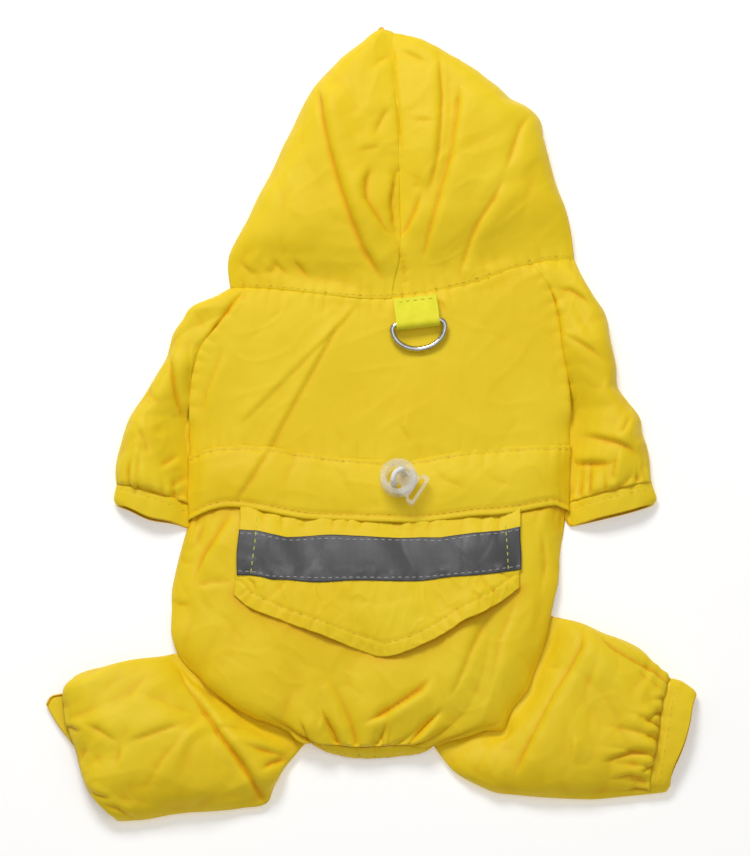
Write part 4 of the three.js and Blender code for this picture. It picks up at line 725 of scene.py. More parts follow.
def belly_form(side):
    armhole = ARMHOLE_LEFT if side == "l" else ARMHOLE_RIGHT
    rows = []
    for k in range(ARMHOLE_ROWS):
        edge = section(armhole, k / ARMHOLE_ROWS)
        rows.append((edge["x"], edge["y"], mix(CLOSURE_ENDS[0], BELLY_EDGE[0]["middleY"], k / ARMHOLE_ROWS)))
    rows += [(row[side + "x"], row[side + "y"], row["middleY"]) for row in BELLY_EDGE]
    grid = []
    for j, (edge_x, edge_y, middle_y) in enumerate(rows):
        t = (CLOSURE_ENDS[0] - middle_y) / (CLOSURE_ENDS[0] - CLOSURE_ENDS[1])
        closure = section(CLOSURE, t)["x"]
        plain = closure + CLOSURE_LAP + (3.2 if side == "r" else 0)
        columns = [(mix(edge_x, plain, share), 0) for share in (0, 0.25, 0.5, 0.75, 1)]
        if side == "r":
            columns += [(plain - CLOSURE_STEP, BELLY_LAP), (closure - CLOSURE_LAP, BELLY_LAP)]
        grid.append([
            (x, neck_y(x) - 0.5 if j == 0 else mix(edge_y, middle_y, clamp((x - edge_x) / (closure - edge_x))),
             BELLY_Z + up) for x, up in columns])
    return np.array(grid, float)


# Meshes

def at_places(grid, places):
    """A grid's rows at fractional places along its first axis, on smooth curves through the rows."""
    last = len(grid) - 1
    padded = np.concatenate([2 * grid[:1] - grid[1:2], grid, 2 * grid[-1:] - grid[-2:-1]])
    i = np.clip(places.astype(int), 0, last - 1)
    f = (places - i)[:, None, None]
    a, b, c, d = (padded[i + k] for k in range(4))
    return b + 0.5 * f * (c - a + f * (2 * a - 5 * b + 4 * c - d + f * (3 * (b - c) + d - a)))


def even_places(line, spacing):
    """Places along a line of points that are evenly spaced in length."""
    fine = np.linspace(0, len(line) - 1, 40 * (len(line) - 1) + 1)
    curve = at_places(line[:, None, :], fine)[:, 0]
    length = np.concatenate([[0], np.cumsum(np.linalg.norm(np.diff(curve, axis=0), axis=1))])
    count = max(3, round(length[-1] / spacing))
    return np.interp(np.linspace(0, length[-1], count + 1), length, fine)


def refined(grid, spacing):
    size = np.linalg.norm(np.diff(grid, axis=1), axis=2).sum(1)
    tall = np.linalg.norm(np.diff(grid, axis=0), axis=2).sum(0)
    across = even_places(grid[int(size.argmax())], spacing)
    along = even_places(grid[:, int(tall.argmax())], spacing)
    dense = at_places(at_places(grid, along).swapaxes(0, 1), across).swapaxes(0, 1)
    return dense, along, across


def grid_normals(points, top):
    across = np.gradient(points, axis=1)
    along = np.gradient(points, axis=0)
    normal = np.cross(across, along)
    normal /= np.maximum(np.linalg.norm(normal, axis=2, keepdims=True), 1e-9)
    flip = normal[len(points) // 2, top, 2] < 0
    return (-normal if flip else normal), flip


def link(name, mesh):
    obj = bpy.data.objects.new(name, mesh)
    bpy.context.scene.collection.objects.link(obj)
    return obj


def mesh_object(name, points, faces):
    """An object with points in the tables' millimetres put into the frame."""
    mesh = bpy.data.meshes.new(name)
    placed = (np.asarray(points, float).reshape(-1, 3) + SHIFT) * MM
    mesh.from_pydata(placed.tolist(), [], faces)
    mesh.update()
    mesh.polygons.foreach_set("use_smooth", [True] * len(mesh.polygons))
    return link(name, mesh)


def grid_faces(rows, columns, flip, wrap=False):
    """Faces between rows of points. wrap closes each row into a ring."""
    faces = []
    for j in range(rows - 1):
        for i in range(columns if wrap else columns - 1):
            a, b = j * columns + i, j * columns + (i + 1) % columns
            c, d = b + columns, a + columns
            faces.append((a, d, c, b) if flip else (a, b, c, d))
    return faces


def capped_rings(rings, sides, flip):
    """Faces of a closed body lofted through rings of points."""
    low, high = tuple(range(sides)), tuple(range((rings - 1) * sides, rings * sides))
    return grid_faces(rings, sides, flip, True) + ([low, high[::-1]] if flip else [low[::-1], high])


def hollows(height):
    """How far each place lies below its surroundings, from 0 to 1: the share of painted shade that its colour
    gets there.
    """
    around = height.copy()
    for _ in range(22):
        wide = np.pad(around, 1, mode="edge")
        around = (wide[:-2, 1:-1] + wide[2:, 1:-1] + wide[1:-1, :-2] + wide[1:-1, 2:]
                  + 2 * wide[1:-1, 1:-1]) / 6
    return clamp((around - height) / 0.85 - 0.05)


FLOOR_CLEAR = 0.06
OUTLINE_UNEVEN = 0.5            # how far borders and seams stray from the tables' smooth lines
surfaces = {}


def finish_piece(obj, body, material, nodes=()):
    obj.data.materials.append(material)
    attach(obj, body)
    if nodes:
        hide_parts(*nodes)
    return obj


def cloth(name, node, form, relief=None, top=None, spacing=GRID, thickness=CLOTH, border=None, material=None,
          shaded=(), allowance=1.1):
    """A cloth piece: a smooth dense grid on its form, moved out of the cloth by relief, with its thickness.
    shaded has the lines that another piece keeps the light from, each with its reach: a painted shadow goes
    into the colour along them. allowance is the cloth turned in past its borders, into the seams, its colour
    painted full shade."""
    points, along, across = refined(form, spacing)
    x, y = points[..., 0].copy(), points[..., 1].copy()
    points[..., 0] += OUTLINE_UNEVEN * (0.6 * mottle(x, y, 34, 5) + 0.5 * facets(x, y, 13, 6))
    points[..., 1] += OUTLINE_UNEVEN * (0.6 * mottle(x, y, 34, 7) + 0.5 * facets(x, y, 13, 8))
    if name.split("_")[0] not in ("waistband", "pocket", "reflective"):         # they lie inside the outline
        for row in PULLS:
            place = from_px(row["x"], row["y"], 4)
            share = np.exp(-((x - place[0]) ** 2 + (y - place[1]) ** 2) / (row["reach"] / PX_PER_MM) ** 2)
            points[..., 0] += share * row["dx"] / PX_PER_MM
            points[..., 1] -= share * row["dy"] / PX_PER_MM
    if border:
        border(points, along, across)
    middle = int(np.abs(across - (form.shape[1] // 2 if top is None else top)).argmin())
    normal, flip = grid_normals(points, middle)
    run = np.concatenate([
        np.zeros((1, points.shape[1])),
        np.cumsum(np.linalg.norm(np.diff(points, axis=0), axis=2), axis=0)])
    painted_shade = np.zeros(points.shape[:2])
    if relief:
        height = relief(points[..., 0], points[..., 1], np.broadcast_to(across, run.shape), run)
        points = points + normal * height[..., None]
        # painted shade in the relief's hollows and creases
        painted_shade = hollows(height)
    # painted shadow along the lines that another piece keeps the light from
    for line, reach in shaded:
        d, _, _ = nearest(line, points[..., 0], points[..., 1])
        painted_shade = np.maximum(painted_shade, 0.95 * np.exp(-np.abs(d) / reach))
    if allowance:
        wide, normal = (np.pad(grid, ((1, 1), (1, 1), (0, 0)), mode="edge") for grid in (points, normal))
        turned = np.ones(wide.shape[:2])
        turned[1:-1, 1:-1] = 0
        points = wide - normal * (allowance * turned)[..., None]
        # painted shade: full on the turned-in allowance, for the shade down in the seams
        painted_shade = np.maximum(np.pad(painted_shade, 1, mode="edge"), turned)
    points[..., 2] = np.maximum(points[..., 2], FLOOR_CLEAR + thickness * (normal[..., 2] > 0.2))
    obj = mesh_object(name, points, grid_faces(*points.shape[:2], flip))
    attribute = obj.data.attributes.new("painted_shade", "FLOAT", "POINT")
    attribute.data.foreach_set("value", painted_shade.ravel().astype(np.float32))
    solid = obj.modifiers.new("thickness", "SOLIDIFY")
    solid.thickness = thickness * MM
    solid.offset = -1
    finish_piece(obj, "coat", material or taffeta, [node])
    surfaces[name] = BVHTree.FromPolygons(
        [tuple(p) for p in points.reshape(-1, 3)], grid_faces(*points.shape[:2], flip))
    return obj


def on_surface(names, x, y):
    """The highest point of some pieces at a place, and the direction out of them there."""
    best = None
    for name in names:
        place, normal, _, _ = surfaces[name].ray_cast(Vector((x, y, 60)), Vector((0, 0, -1)))
        if place is not None and (best is None or place.z > best[0].z):
            best = (place, normal if normal.z > 0 else -normal)
    return best


# Materials

class Shading:
    """A procedural material. constants has the values that its shader's own sockets hold."""

    def __init__(self, name, constants):
        self.material = bpy.data.materials.new(name)
        self.material.use_nodes = True
        self.nodes, self.links = self.material.node_tree.nodes, self.material.node_tree.links
        self.shader = self.nodes["Principled BSDF"]
        self.place = self.nodes.new("ShaderNodeTexCoord").outputs["Object"]
        self.relief = None
        for socket, value in constants.items():
            self.shader.inputs[socket].default_value = value

    def noise(self, scale, detail):
        node = self.nodes.new("ShaderNodeTexNoise")
        node.inputs["Scale"].default_value = scale
        node.inputs["Detail"].default_value = detail
        self.links.new(self.place, node.inputs["Vector"])
        return node.outputs["Fac"]

    def maths(self, operation, *values):
        node = self.nodes.new("ShaderNodeMath")
        node.operation = operation
        for socket, value in zip(node.inputs, values):
            if isinstance(value, (int, float)):
                socket.default_value = value
            else:
                self.links.new(value, socket)
        return node.outputs[0]

    def ramp(self, factor, *stops):
        node = self.nodes.new("ShaderNodeValToRGB")
        for element, (place, colour) in zip(node.color_ramp.elements, stops):
            element.position = place
            element.color = (*colour, 1)
        self.links.new(factor, node.inputs["Fac"])
        return node.outputs["Color"]

    def colour(self, factor, *stops):
        self.links.new(self.ramp(factor, *stops), self.shader.inputs["Base Color"])

    def roughness(self, factor, low, high):
        node = self.nodes.new("ShaderNodeMapRange")
        node.inputs["To Min"].default_value = low
        node.inputs["To Max"].default_value = high
        self.links.new(factor, node.inputs["Value"])
        self.links.new(node.outputs["Result"], self.shader.inputs["Roughness"])

    def weave(self, pitch, angle=0.0):
        """Crossing threads, one wave along each direction of the cloth. pitch is in metres."""
        turned = self.nodes.new("ShaderNodeMapping")
        turned.inputs["Rotation"].default_value = (0, 0, angle)
        self.links.new(self.place, turned.inputs["Vector"])
        waves = []
        for direction in ("X", "Y"):
            wave = self.nodes.new("ShaderNodeTexWave")
            wave.bands_direction = direction
            for socket, value in (("Scale", 0.314 / pitch), ("Distortion", 0.6), ("Detail", 1.0)):
                wave.inputs[socket].default_value = value
            self.links.new(turned.outputs["Vector"], wave.inputs["Vector"])
            waves.append(wave.outputs["Fac"])
        return self.maths("ADD", *waves)

    def bump(self, height, distance, strength):
        """Small relief, over the bump that there is."""
        node = self.nodes.new("ShaderNodeBump")
        node.inputs["Distance"].default_value = distance
        node.inputs["Strength"].default_value = strength
        self.links.new(height, node.inputs["Height"])
        if self.relief is not None:
            self.links.new(self.relief, node.inputs["Normal"])
        self.relief = node.outputs["Normal"]
        self.links.new(self.relief, self.shader.inputs["Normal"])


def cloth_material(name, pale, base, angle=0.0):
    """Thin coated taffeta: a fine weave, small crumples, and painted shade, a warmer darker colour, where the
    mesh's shade attribute is high.
    """
    made = Shading(name, {"Specular IOR Level": 0.24, "Sheen Weight": 0.03, "Sheen Roughness": 0.4})
    cloudy = made.ramp(made.noise(22, 3), (0.32, base), (0.72, pale))
    painted_shade = made.nodes.new("ShaderNodeAttribute")
    painted_shade.attribute_name = "painted_shade"
    # painted shade: the colour is mixed towards a dark warm orange where the mesh's shade attribute is high
    blend = made.nodes.new("ShaderNodeMix")
    blend.data_type = "RGBA"
    made.links.new(made.maths("MULTIPLY", painted_shade.outputs["Fac"], 0.9), blend.inputs["Factor"])
    made.links.new(cloudy, blend.inputs["A"])
    blend.inputs["B"].default_value = (*YELLOW_PAINTED_SHADE, 1)
    made.links.new(blend.outputs["Result"], made.shader.inputs["Base Color"])
    made.roughness(made.noise(900, 2), 0.44, 0.6)
    made.bump(made.noise(70, 4), 0.0012, 0.35)                  # crumples
    made.bump(made.weave(0.00042, angle), 0.00003, 0.5)
    return made.material


def clouded(name, scale, detail, dark, pale, edge, constants):
    """A material whose colour clouds from dark to pale, and the noise that does it."""
    made = Shading(name, constants)
    cloudy = made.noise(scale, detail)
    made.colour(cloudy, (edge, dark), (1 - edge, pale))
    return made, cloudy


def tape_material():
    """Woven tape under a coat of tiny glass beads."""
    made = Shading("reflective_grey", {"Roughness": 0.42, "Metallic": 0.25, "Specular IOR Level": 0.5})
    beads = made.noise(2600, 1)
    both = made.maths("MULTIPLY_ADD", beads, 0.5, made.maths("MULTIPLY", made.noise(60, 3), 0.5))
    made.colour(both, (0.3, (0.054, 0.053, 0.056)), (0.7, (0.084, 0.083, 0.088)))
    made.bump(beads, 0.00008, 0.5)
    made.bump(made.weave(0.0005), 0.00004, 0.4)
    return made.material


def webbing_material():
    """Neon polyester webbing with fine cross ribs."""
    made, _ = clouded("neon_webbing", 260, 3, (0.79, 0.74, 0.012), (0.87, 0.82, 0.03), 0.3,
                      {"Roughness": 0.62, "Sheen Weight": 0.08, "Specular IOR Level": 0.3})
    made.bump(made.weave(0.0008, -LOOP_TURN), 0.00008, 0.4)
    return made.material


def nickel_material():
    """Plated steel wire, a little dull where it has been handled."""
    made, worn = clouded("nickel_plate", 300, 4, (0.50, 0.49, 0.47), (0.68, 0.67, 0.65), 0.35,
                         {"Metallic": 1.0})
    made.roughness(worn, 0.1, 0.24)
    made.bump(made.noise(1500, 2), 0.00002, 0.3)
    return made.material


def plastic_material():
    """Clear moulded plastic with faint flow marks."""
    made, haze = clouded("clear_moulding", 420, 2, (0.86, 0.84, 0.76), (0.97, 0.96, 0.92), 0.3,
                         {"Alpha": 0.27, "IOR": 1.5})
    made.roughness(haze, 0.06, 0.2)
    made.bump(haze, 0.0002, 0.35)
    return made.material


def thread_material(name, colour):
    made, fine = clouded(name, 1800, 2, tuple(0.82 * c for c in colour), colour, 0.35, {"Roughness": 0.55})
    made.bump(fine, 0.00006, 0.5)
    return made.material


def elastic_material():
    """White braided elastic."""
    made, _ = clouded("white_braid", 700, 3, (0.84, 0.83, 0.80), (0.96, 0.95, 0.92), 0.3,
                      {"Roughness": 0.8, "Sheen Weight": 0.3})
    made.bump(made.weave(0.0007, math.radians(45)), 0.0001, 0.6)
    return made.material


YELLOW = (0.86, 0.595, 0.006)
YELLOW_PALE = (0.89, 0.655, 0.016)
# the painted shade's dark warm orange, for creases, seams and the shadows under lips
YELLOW_PAINTED_SHADE = (0.80, 0.40, 0.0)
taffeta = cloth_material("taffeta", YELLOW_PALE, YELLOW)
taffeta_leg = cloth_material("taffeta_leg", YELLOW_PALE, YELLOW, math.radians(32))
taffeta_inside = cloth_material("taffeta_inside", YELLOW, (0.74, 0.53, 0.018))
reflective_grey = tape_material()
neon_webbing = webbing_material()
nickel_plate = nickel_material()
clear_moulding = plastic_material()
white_braid = elastic_material()
yellow_thread = thread_material("yellow_thread", (0.84, 0.62, 0.03))
white_thread = thread_material("white_thread", (0.48, 0.47, 0.46))
lime_thread = thread_material("lime_thread", (0.72, 0.76, 0.06))
webbing_thread = thread_material("webbing_thread", (0.72, 0.62, 0.03))

# Seam lines, in millimetres
NECK_LINE, ARM_LEFT_LINE, ARM_RIGHT_LINE = (
    np.array([(row["x"], row["y"]) for row in rows], float) for rows in (NECK, ARMHOLE_LEFT, ARMHOLE_RIGHT))
HOOD_SEAM_LINE = line_px(
    406, 290,  402, 256,  396, 241,  394, 228,  392, 206,  393, 192,  395, 177,  402, 164,  399, 127,  397, 95,
    395, 63,  391, 30)
# The waistband's top seam and lower lip, the flap and the tape, traced in the picture
BAND_TOP = line_px(
    178, 462, 5,  185, 457, 5,  200, 449, 8,  217, 444, 9,  240, 444, 9,  267, 446, 9,  295, 450, 9,
    320, 454, 9,  360, 458, 9,  395, 460, 9,  425, 457, 9,  462, 450, 9,  495, 447, 9,  520, 445, 9,
    545, 444, 8,  562, 443, 7,  572, 444, 5, of=3)
BAND_LIP = line_px(
    178, 530, 5,  190, 519, 6,  205, 512, 9,  222, 506, 10,  240, 506, 10,  258, 509, 10,  280, 514, 10,
    305, 519, 10,  342, 521, 10,  380, 521, 10,  422, 522, 10,  450, 519, 10,  470, 516, 10,  495, 514, 10,
    520, 511, 10,  540, 507, 9,  555, 505, 8,  566, 509, 6,  576, 513, 5, of=3)
FLAP_LEFT_TOP = -56.5
FLAP_BOTTOM = line_px(
    234, 592, 14,  240, 600, 14,  262, 612, 15,  287, 623, 15,  330, 637, 16,  355, 646, 16,  370, 651, 16,
    383, 656, 16,  394, 653, 16,  407, 650, 16,  427, 642, 17,  445, 632, 17,  462, 620, 17,  477, 614, 16,
    495, 604, 15,  510, 594, 14,  520, 586, 14, of=3)
TAPE_TOP = line_px(
    239, 529, 13,  257, 530, 13,  270, 533, 13,  287, 536, 13,  308, 535, 13,  330, 534, 14,  355, 535, 14,
    397, 535, 14,  420, 535, 14,  440, 536, 14,  470, 532, 13,  502, 528, 13,  520, 525, 13, of=3)
TAPE_BOTTOM = line_px(
    237, 573, 14,  250, 574, 14,  262, 576, 14,  272, 579, 14,  305, 580, 15,  355, 580, 15,  397, 580, 15,
    420, 579, 15,  470, 575, 15,  502, 571, 14,  521, 567, 14, of=3)


def height_of(line, x):
    return np.interp(x, line[:, 0], line[:, 1])


# The cloth's relief on each piece, in millimetres

def neck_seam(x, y):
    return seam(NECK_LINE, x, y, 0.2, 0.7, 0.27, 6.0, 5.5, 32)


def arm_seam(line, x, y):
    return seam(line, x, y, 0.15, 0.6, 0.2, 7.0, 4.0, 33 if line is ARM_LEFT_LINE else 34)


def fine_unevenness(x, y, seed, planes, large):
    return (large * mottle(x, y, 50, seed) + 1.9 * planes * facets(x, y, 19, seed + 1)
            + 0.55 * planes * facets(x, y, 8, seed + 2) + 0.16 * crumple(x, y, 26, seed + 3))


def edge_fade(share, width):
    """0 at a section's two edges, 1 from width in. share is from 0 to 1 across it."""
    return smooth(share / width) * smooth((1 - share) / width)


def over_upper(across, upper):
    return edge_fade(clamp(across / upper), 0.1) * (across < upper)


def under_folds(x, y, across, upper, seed, height):
    """Unlike folds on the side that lies down: it stands off the surface along them."""
    under = smooth((across - upper - 0.8) / 1.5) * smooth((upper + UNDER - across - 0.1) / 1.0)
    return -height * crumple(x, y, 34, seed) * under


def hood_relief(seed):
    def relief(x, y, across, run):
        top = smooth((1 - across / HOOD_UPPER) / 0.07) * (across < HOOD_UPPER)
        body = (fine_unevenness(x, y, seed, 0.5, 0.4) * smooth(run / 8)
                + creases(HOOD_CREASES, x, y, 1.45) * smooth((run + 1) / 5))
        centre = seam(HOOD_SEAM_LINE, x, y, 0.1, 0.6, 0.08, 5.0, 3.0, 14)
        flat = (across < HOOD_UPPER) * (neck_seam(x, y) + centre)
        return (body * top + flat * smooth((1 - across / HOOD_UPPER) / 0.1)
                + under_folds(x, y, across, HOOD_UPPER, seed + 9, 1.3))
    return relief


def back_relief(x, y, across, run):
    share = across / BODY_COLUMNS
    body = (fine_unevenness(x, y, 31, 0.26, 0.45) + creases(BACK_CREASES, x, y)) * edge_fade(share, 0.05)
    body *= smooth(run / 5)
    seams = neck_seam(x, y) + arm_seam(ARM_LEFT_LINE, x, y) + arm_seam(ARM_RIGHT_LINE, x, y)
    into_band = 0.35 * gathers(share, np.abs(y + 13.5), 26, 1.0, 7, 0.4, 35) * (y < -2)
    return body + seams + into_band * edge_fade(share, 0.08)


def lower_relief(x, y, across, run):
    share = across / BODY_COLUMNS
    inside = edge_fade(share, 0.05)
    length = run.max(0, keepdims=True)
    to_tail = length - run
    body = (fine_unevenness(x, y, 41, 0.65, 0.5) + creases(LOWER_CREASES, x, y)) * smooth(run / 6)
    under_flap = (np.abs(x - 3) < 58) & (y > -92 + 0.3 * np.abs(x - 3)) & (y < -50)
    body = np.where(under_flap, np.minimum(body, 0.4), body)
    waist = gathers(share, run, 17, 0.7, 8, 0.3, 42)
    tail = gathers(share, to_tail, 9, 2.8, 15, 0.8, 43) * smooth(to_tail / 2.2 + 0.2)
    return (body + waist + tail) * inside


def tail_relief(x, y, across, run):
    share = across / TAIL_COLUMNS
    return (gathers(share, run, 9, 0.5, 6, 0.8, 43) + 0.12 * mottle(x, y, 9, 44)) * edge_fade(share, 0.1)


def sleeve_relief(rows, arm_line, phase, seed):
    def relief(x, y, across, run):
        share = clamp(across / SLEEVE_UPPER)
        top = over_upper(across, SLEEVE_UPPER)
        length = run.max(0, keepdims=True)
        body = fine_unevenness(x, y, seed, 0.8, 0.5) * smooth(run / 3) + creases(rows, x, y)
        body *= smooth((length - run) / 6)
        cuff = gathers(share, run, 9, 1.9, 8.5, phase, seed + 1) * smooth(run / 2.2 + 0.15)
        seams = (arm_seam(arm_line, x, y) + neck_seam(x, y)) * (across < SLEEVE_UPPER)
        under_cuff = -0.8 * np.abs(gathers(across / UNDER, run, 4, 1.0, 9, phase, seed + 5))
        under = smooth((across - SLEEVE_UPPER - 0.8) / 1.5) * smooth((SLEEVE_UPPER + UNDER - across) / 1.2)
        return ((body + cuff) * top + seams + under_cuff * under
                + under_folds(x, y, across, SLEEVE_UPPER, seed + 4, 1.0))
    return relief


def leg_relief(side, rows, count, height, phase, seed):
    def relief(x, y, across, run):
        share = clamp(across / LEG_UPPER)
        free = free_of_back(side, x, y)
        top = over_upper(across, LEG_UPPER) * free
        body = fine_unevenness(x, y, seed, 1.1, 0.5) * smooth(run / 3) + creases(rows, x, y)
        cuff = gathers(share, run, count, height, 12, phase, seed + 1) * smooth(run / 2.2 + 0.15)
        return (body + cuff) * top + under_folds(x, y, across, LEG_UPPER, seed + 4, 1.4) * free
    return relief


def cuff_relief(upper, count, phase, seed):
    def relief(x, y, across, run):
        share = clamp(across / upper)
        top = over_upper(across, upper)
        return (gathers(share, run, count, 0.45, 5, phase, seed) + 0.12 * mottle(x, y, 10, seed)
                - 0.22 * bell(run - 3.2, 0.7) - 0.4 * smooth(1 - run / 3.2)) * top
    return relief


# Cloth pieces

def beside_back(border_x, out, armhole_y):
    """Keeps a sleeve's inner side low where the back's border lies on it, below the armhole's end."""
    def press(points, along, across):
        clear = out * (points[..., 0] - border_x)
        above = np.maximum(points[..., 1] - armhole_y, 0)
        most = 0.75 + 0.8 * np.maximum(clear, 0) ** 0.85 + 0.3 * above
        high = points[..., 2]
        points[..., 2] = np.minimum(high, most) - 0.9 * np.log1p(np.exp(-np.abs(high - most) / 0.9))
    return press


WAIST_SEAM = 2.0                # the waist seam, hidden above the waistband's lip

for name, rows, inset in (("hood_left", HOOD_LEFT, 1.5), ("hood_right", HOOD_RIGHT, -1.5)):
    cloth(f"{name}_cloth", name, hood_form(rows, inset * SEAM_LAP), hood_relief(11), top=HOOD_UPPER // 2)
upper_form = back_upper_form()
off = height_of(BAND_LIP, upper_form[-1, :, 0]) + WAIST_SEAM - upper_form[-1, :, 1]
for row, share in ((-1, 1.0), (-2, 0.85), (-3, 0.4)):
    upper_form[row, :, 1] += share * off
cloth("back_upper_cloth", "back_upper", upper_form, back_relief)
lower_form = back_lower_form()
off = height_of(BAND_LIP, lower_form[0, :, 0]) + WAIST_SEAM - lower_form[0, :, 1]
for row, share in enumerate((1.0, 0.8, 0.6, 0.4, 0.25, 0.1)):
    lower_form[row, :, 1] += share * off
# painted shadow on the lower back under the waistband's lip and the flap's edge
cloth("back_lower_cloth", "back_lower", lower_form, lower_relief,
      shaded=((BAND_LIP, 1.6), (FLAP_BOTTOM, 2.2)))
tail_form = np.array([body_section(row, TAIL_COLUMNS) for row in TAIL_HEM])
cloth("tail_hem_cloth", "tail_hem", tail_form, tail_relief, spacing=0.7, thickness=0.6)
for name, tube, wrinkles, border in (
        ("sleeve_left", (LEFT_SLEEVE_LOW, LEFT_SLEEVE_HIGH, ARMHOLE_LEFT, 1),
         (SLEEVE_L_CREASES, ARM_LEFT_LINE, 0.4, 51), beside_back(-79.2, -1, 4)),
        ("sleeve_right", (RIGHT_SLEEVE_LOW, RIGHT_SLEEVE_HIGH, ARMHOLE_RIGHT, -1),
         (SLEEVE_R_CREASES, ARM_RIGHT_LINE, 2.0, 61), beside_back(86.2, 1, 8))):
    cloth(f"{name}_cloth", name, sleeve_form(*tube), sleeve_relief(*wrinkles), top=SLEEVE_UPPER // 2,
          border=border)
for side, name, rows, wrinkles in (
        ("l", "leg_left", LEFT_LEG, (LEG_L_CREASES, 5, 0.7, 1.2, 71)),
        ("r", "leg_right", RIGHT_LEG, (LEG_R_CREASES, 11, 2.0, 0.2, 81))):
    cloth(f"{name}_cloth", name, leg_form(side, rows), leg_relief(side, *wrinkles), top=LEG_UPPER // 2,
          material=taffeta_leg)
cuff_forms = {}
for name, rows, first, upper, count, border in (
        ("sleeve_cuff_left", LEFT_SLEEVE_CUFF, LEFT_SLEEVE_LOW[0], CUFF_UPPER, 7, beside_back(-79.2, -1, 4)),
        ("sleeve_cuff_right", RIGHT_SLEEVE_CUFF, RIGHT_SLEEVE_LOW[0], CUFF_UPPER, 7, beside_back(86.2, 1, 8)),
        ("leg_cuff_left", LEFT_LEG_CUFF, None, 12, 4, None),
        ("leg_cuff_right", RIGHT_LEG_CUFF, RIGHT_LEG[0], CUFF_UPPER, 8, None)):
    form = tube_form(joined(rows, first), upper, UNDER, closed=1)
    form[0, :, 2] = np.maximum(form[0, :, 2], CUFF_LIFT)
    if first:
        cuff_forms[name + "_cloth"] = form
    cloth(name + "_cloth", name, form, cuff_relief(upper, count, 0.6, 90 + upper + count),
          top=upper // 2, spacing=0.7, thickness=0.6 if first else 0.4, border=border)
for side, name in (("l", "belly_left"), ("r", "belly_right")):
    cloth(name + "_cloth", name, belly_form(side),
          lambda x, y, across, run: 0.0 * x, top=2, spacing=1.6, material=taffeta_inside)

# The waistband: a casing that stands off the back over the draw cord, its lower edge a folded lip
band_form = []
for k, lift in enumerate((0.45, 1.7, 2.6, 2.7, 2.2, 1.1)):
    row = []
    for share in spread(BODY_COLUMNS):
        side = 2 * share - 1
        x = mix(-79.3, 86.2, share)
        fade = smooth(6 * math.sin(math.pi * share))
        stand = 0.45 + (lift - 0.45) * fade
        row.append((x + 0.5 * side, mix(height_of(BAND_TOP, x), height_of(BAND_LIP, x), k / 5),
                    SIDE_EDGE + 0.1 + (8.2 + 0.5 * (k == 5) - SIDE_EDGE) * rise(side, 1) + stand))
    band_form.append(row)
band_form = np.array(band_form)


def band_relief(x, y, across, run):
    share = across / BODY_COLUMNS
    length = run.max(0, keepdims=True)
    body = fine_unevenness(x, y, 37, 0.24, 0.3) + creases(BAND_CREASES, x, y)
    top_gathers = 0.4 * gathers(share, run, 24, 1.0, 7, 0.2, 38)
    stitched = -0.35 * bell(run - 2.0, 0.8) - 0.45 * bell(length - run - 3.0, 0.9)
    lip = 0.3 * bell(length - run - 1.1, 0.9)
    puckers = 0.22 * gathers(share, np.abs(length - run - 2.0), 30, 1.0, 4, 0.9, 39)
    return (body + top_gathers + stitched + lip + puckers) * edge_fade(share, 0.04)


cloth("waistband_cloth", "waistband", band_form, band_relief, allowance=0)

# The pocket flap, over the lower back, and the tape on it
FLAP_HEM = 6.0                  # from the flap's edge to its stitches
FLAP_ABOVE_BACK = (0.5, 1.2, 1.5, 1.5, 1.5, 1.5, 1.5, 1.4)      # from its top to its edge
flap_form = []
for x in np.linspace(FLAP_BOTTOM[0, 0], FLAP_BOTTOM[-1, 0], 21):
    column = []
    for k, up in enumerate(FLAP_ABOVE_BACK):
        slant = (FLAP_LEFT_TOP - FLAP_BOTTOM[0, 0]) * (1 - k / 7) * clamp(-x / 58)
        y = mix(height_of(BAND_LIP, x + slant) + 1.3, height_of(FLAP_BOTTOM, x), k / 7)
        place, _ = on_surface(["back_lower_cloth"], x + slant, min(y, height_of(BAND_LIP, x) - 0.5))
        column.append((x + slant, y, place.z + up))
    flap_form.append(column)
flap_form = np.array(flap_form)
for _ in range(2):
    flap_form[1:-1, 1:-1, 2] = (flap_form[:-2, 1:-1, 2] + flap_form[2:, 1:-1, 2] + flap_form[1:-1, :-2, 2]
                                + flap_form[1:-1, 2:, 2] + 2 * flap_form[1:-1, 1:-1, 2]) / 6 + 0.12


def flap_waves(x, y):
    """Slanting waves that the flap and the stiffer tape on it share."""
    slant = x + 0.55 * y
    return (0.55 * np.sin(2 * math.pi * slant / 41 + 0.7) + 0.3 * np.sin(2 * math.pi * slant / 23 + 2.0)
            + 0.2 * mottle(x, y, 30, 91))


def flap_relief(x, y, across, run):
    d, at, _ = nearest(FLAP_BOTTOM, x, y)
    to_edge = np.abs(d)
    puckers = gathers(at / 150, np.abs(to_edge - 2.5), 26, 0.5, 5.0, 0.3, 92) * smooth(to_edge / 1.2 + 0.3)
    tucks = gathers((x + 60) / 125, np.abs(run - 2.0), 15, 0.8, 5.5, 0.9, 95) * smooth(run / 1.5)
    stitched = -0.3 * bell(to_edge - FLAP_HEM, 0.8)
    lifted = 2.2 * bell(x - 40, 17) * smooth(1 - to_edge / 16)
    free = smooth((run - 22.5) / 3) + smooth((4.6 - run) / 1.5)
    return (flap_waves(x, y) + lifted
            + (creases(FLAP_CREASES, x, y) + 0.25 * crumple(x, y, 12, 93) + 0.12 * mottle(x, y, 8, 94)) * free
            + puckers + stitched + tucks)


# A column of the flap's form runs down it, so the form is turned to have rows from its top to its edge
flap_form = flap_form.swapaxes(0, 1)
cloth("pocket_flap_cloth", "pocket_flap", flap_form, flap_relief, spacing=0.7, allowance=0)

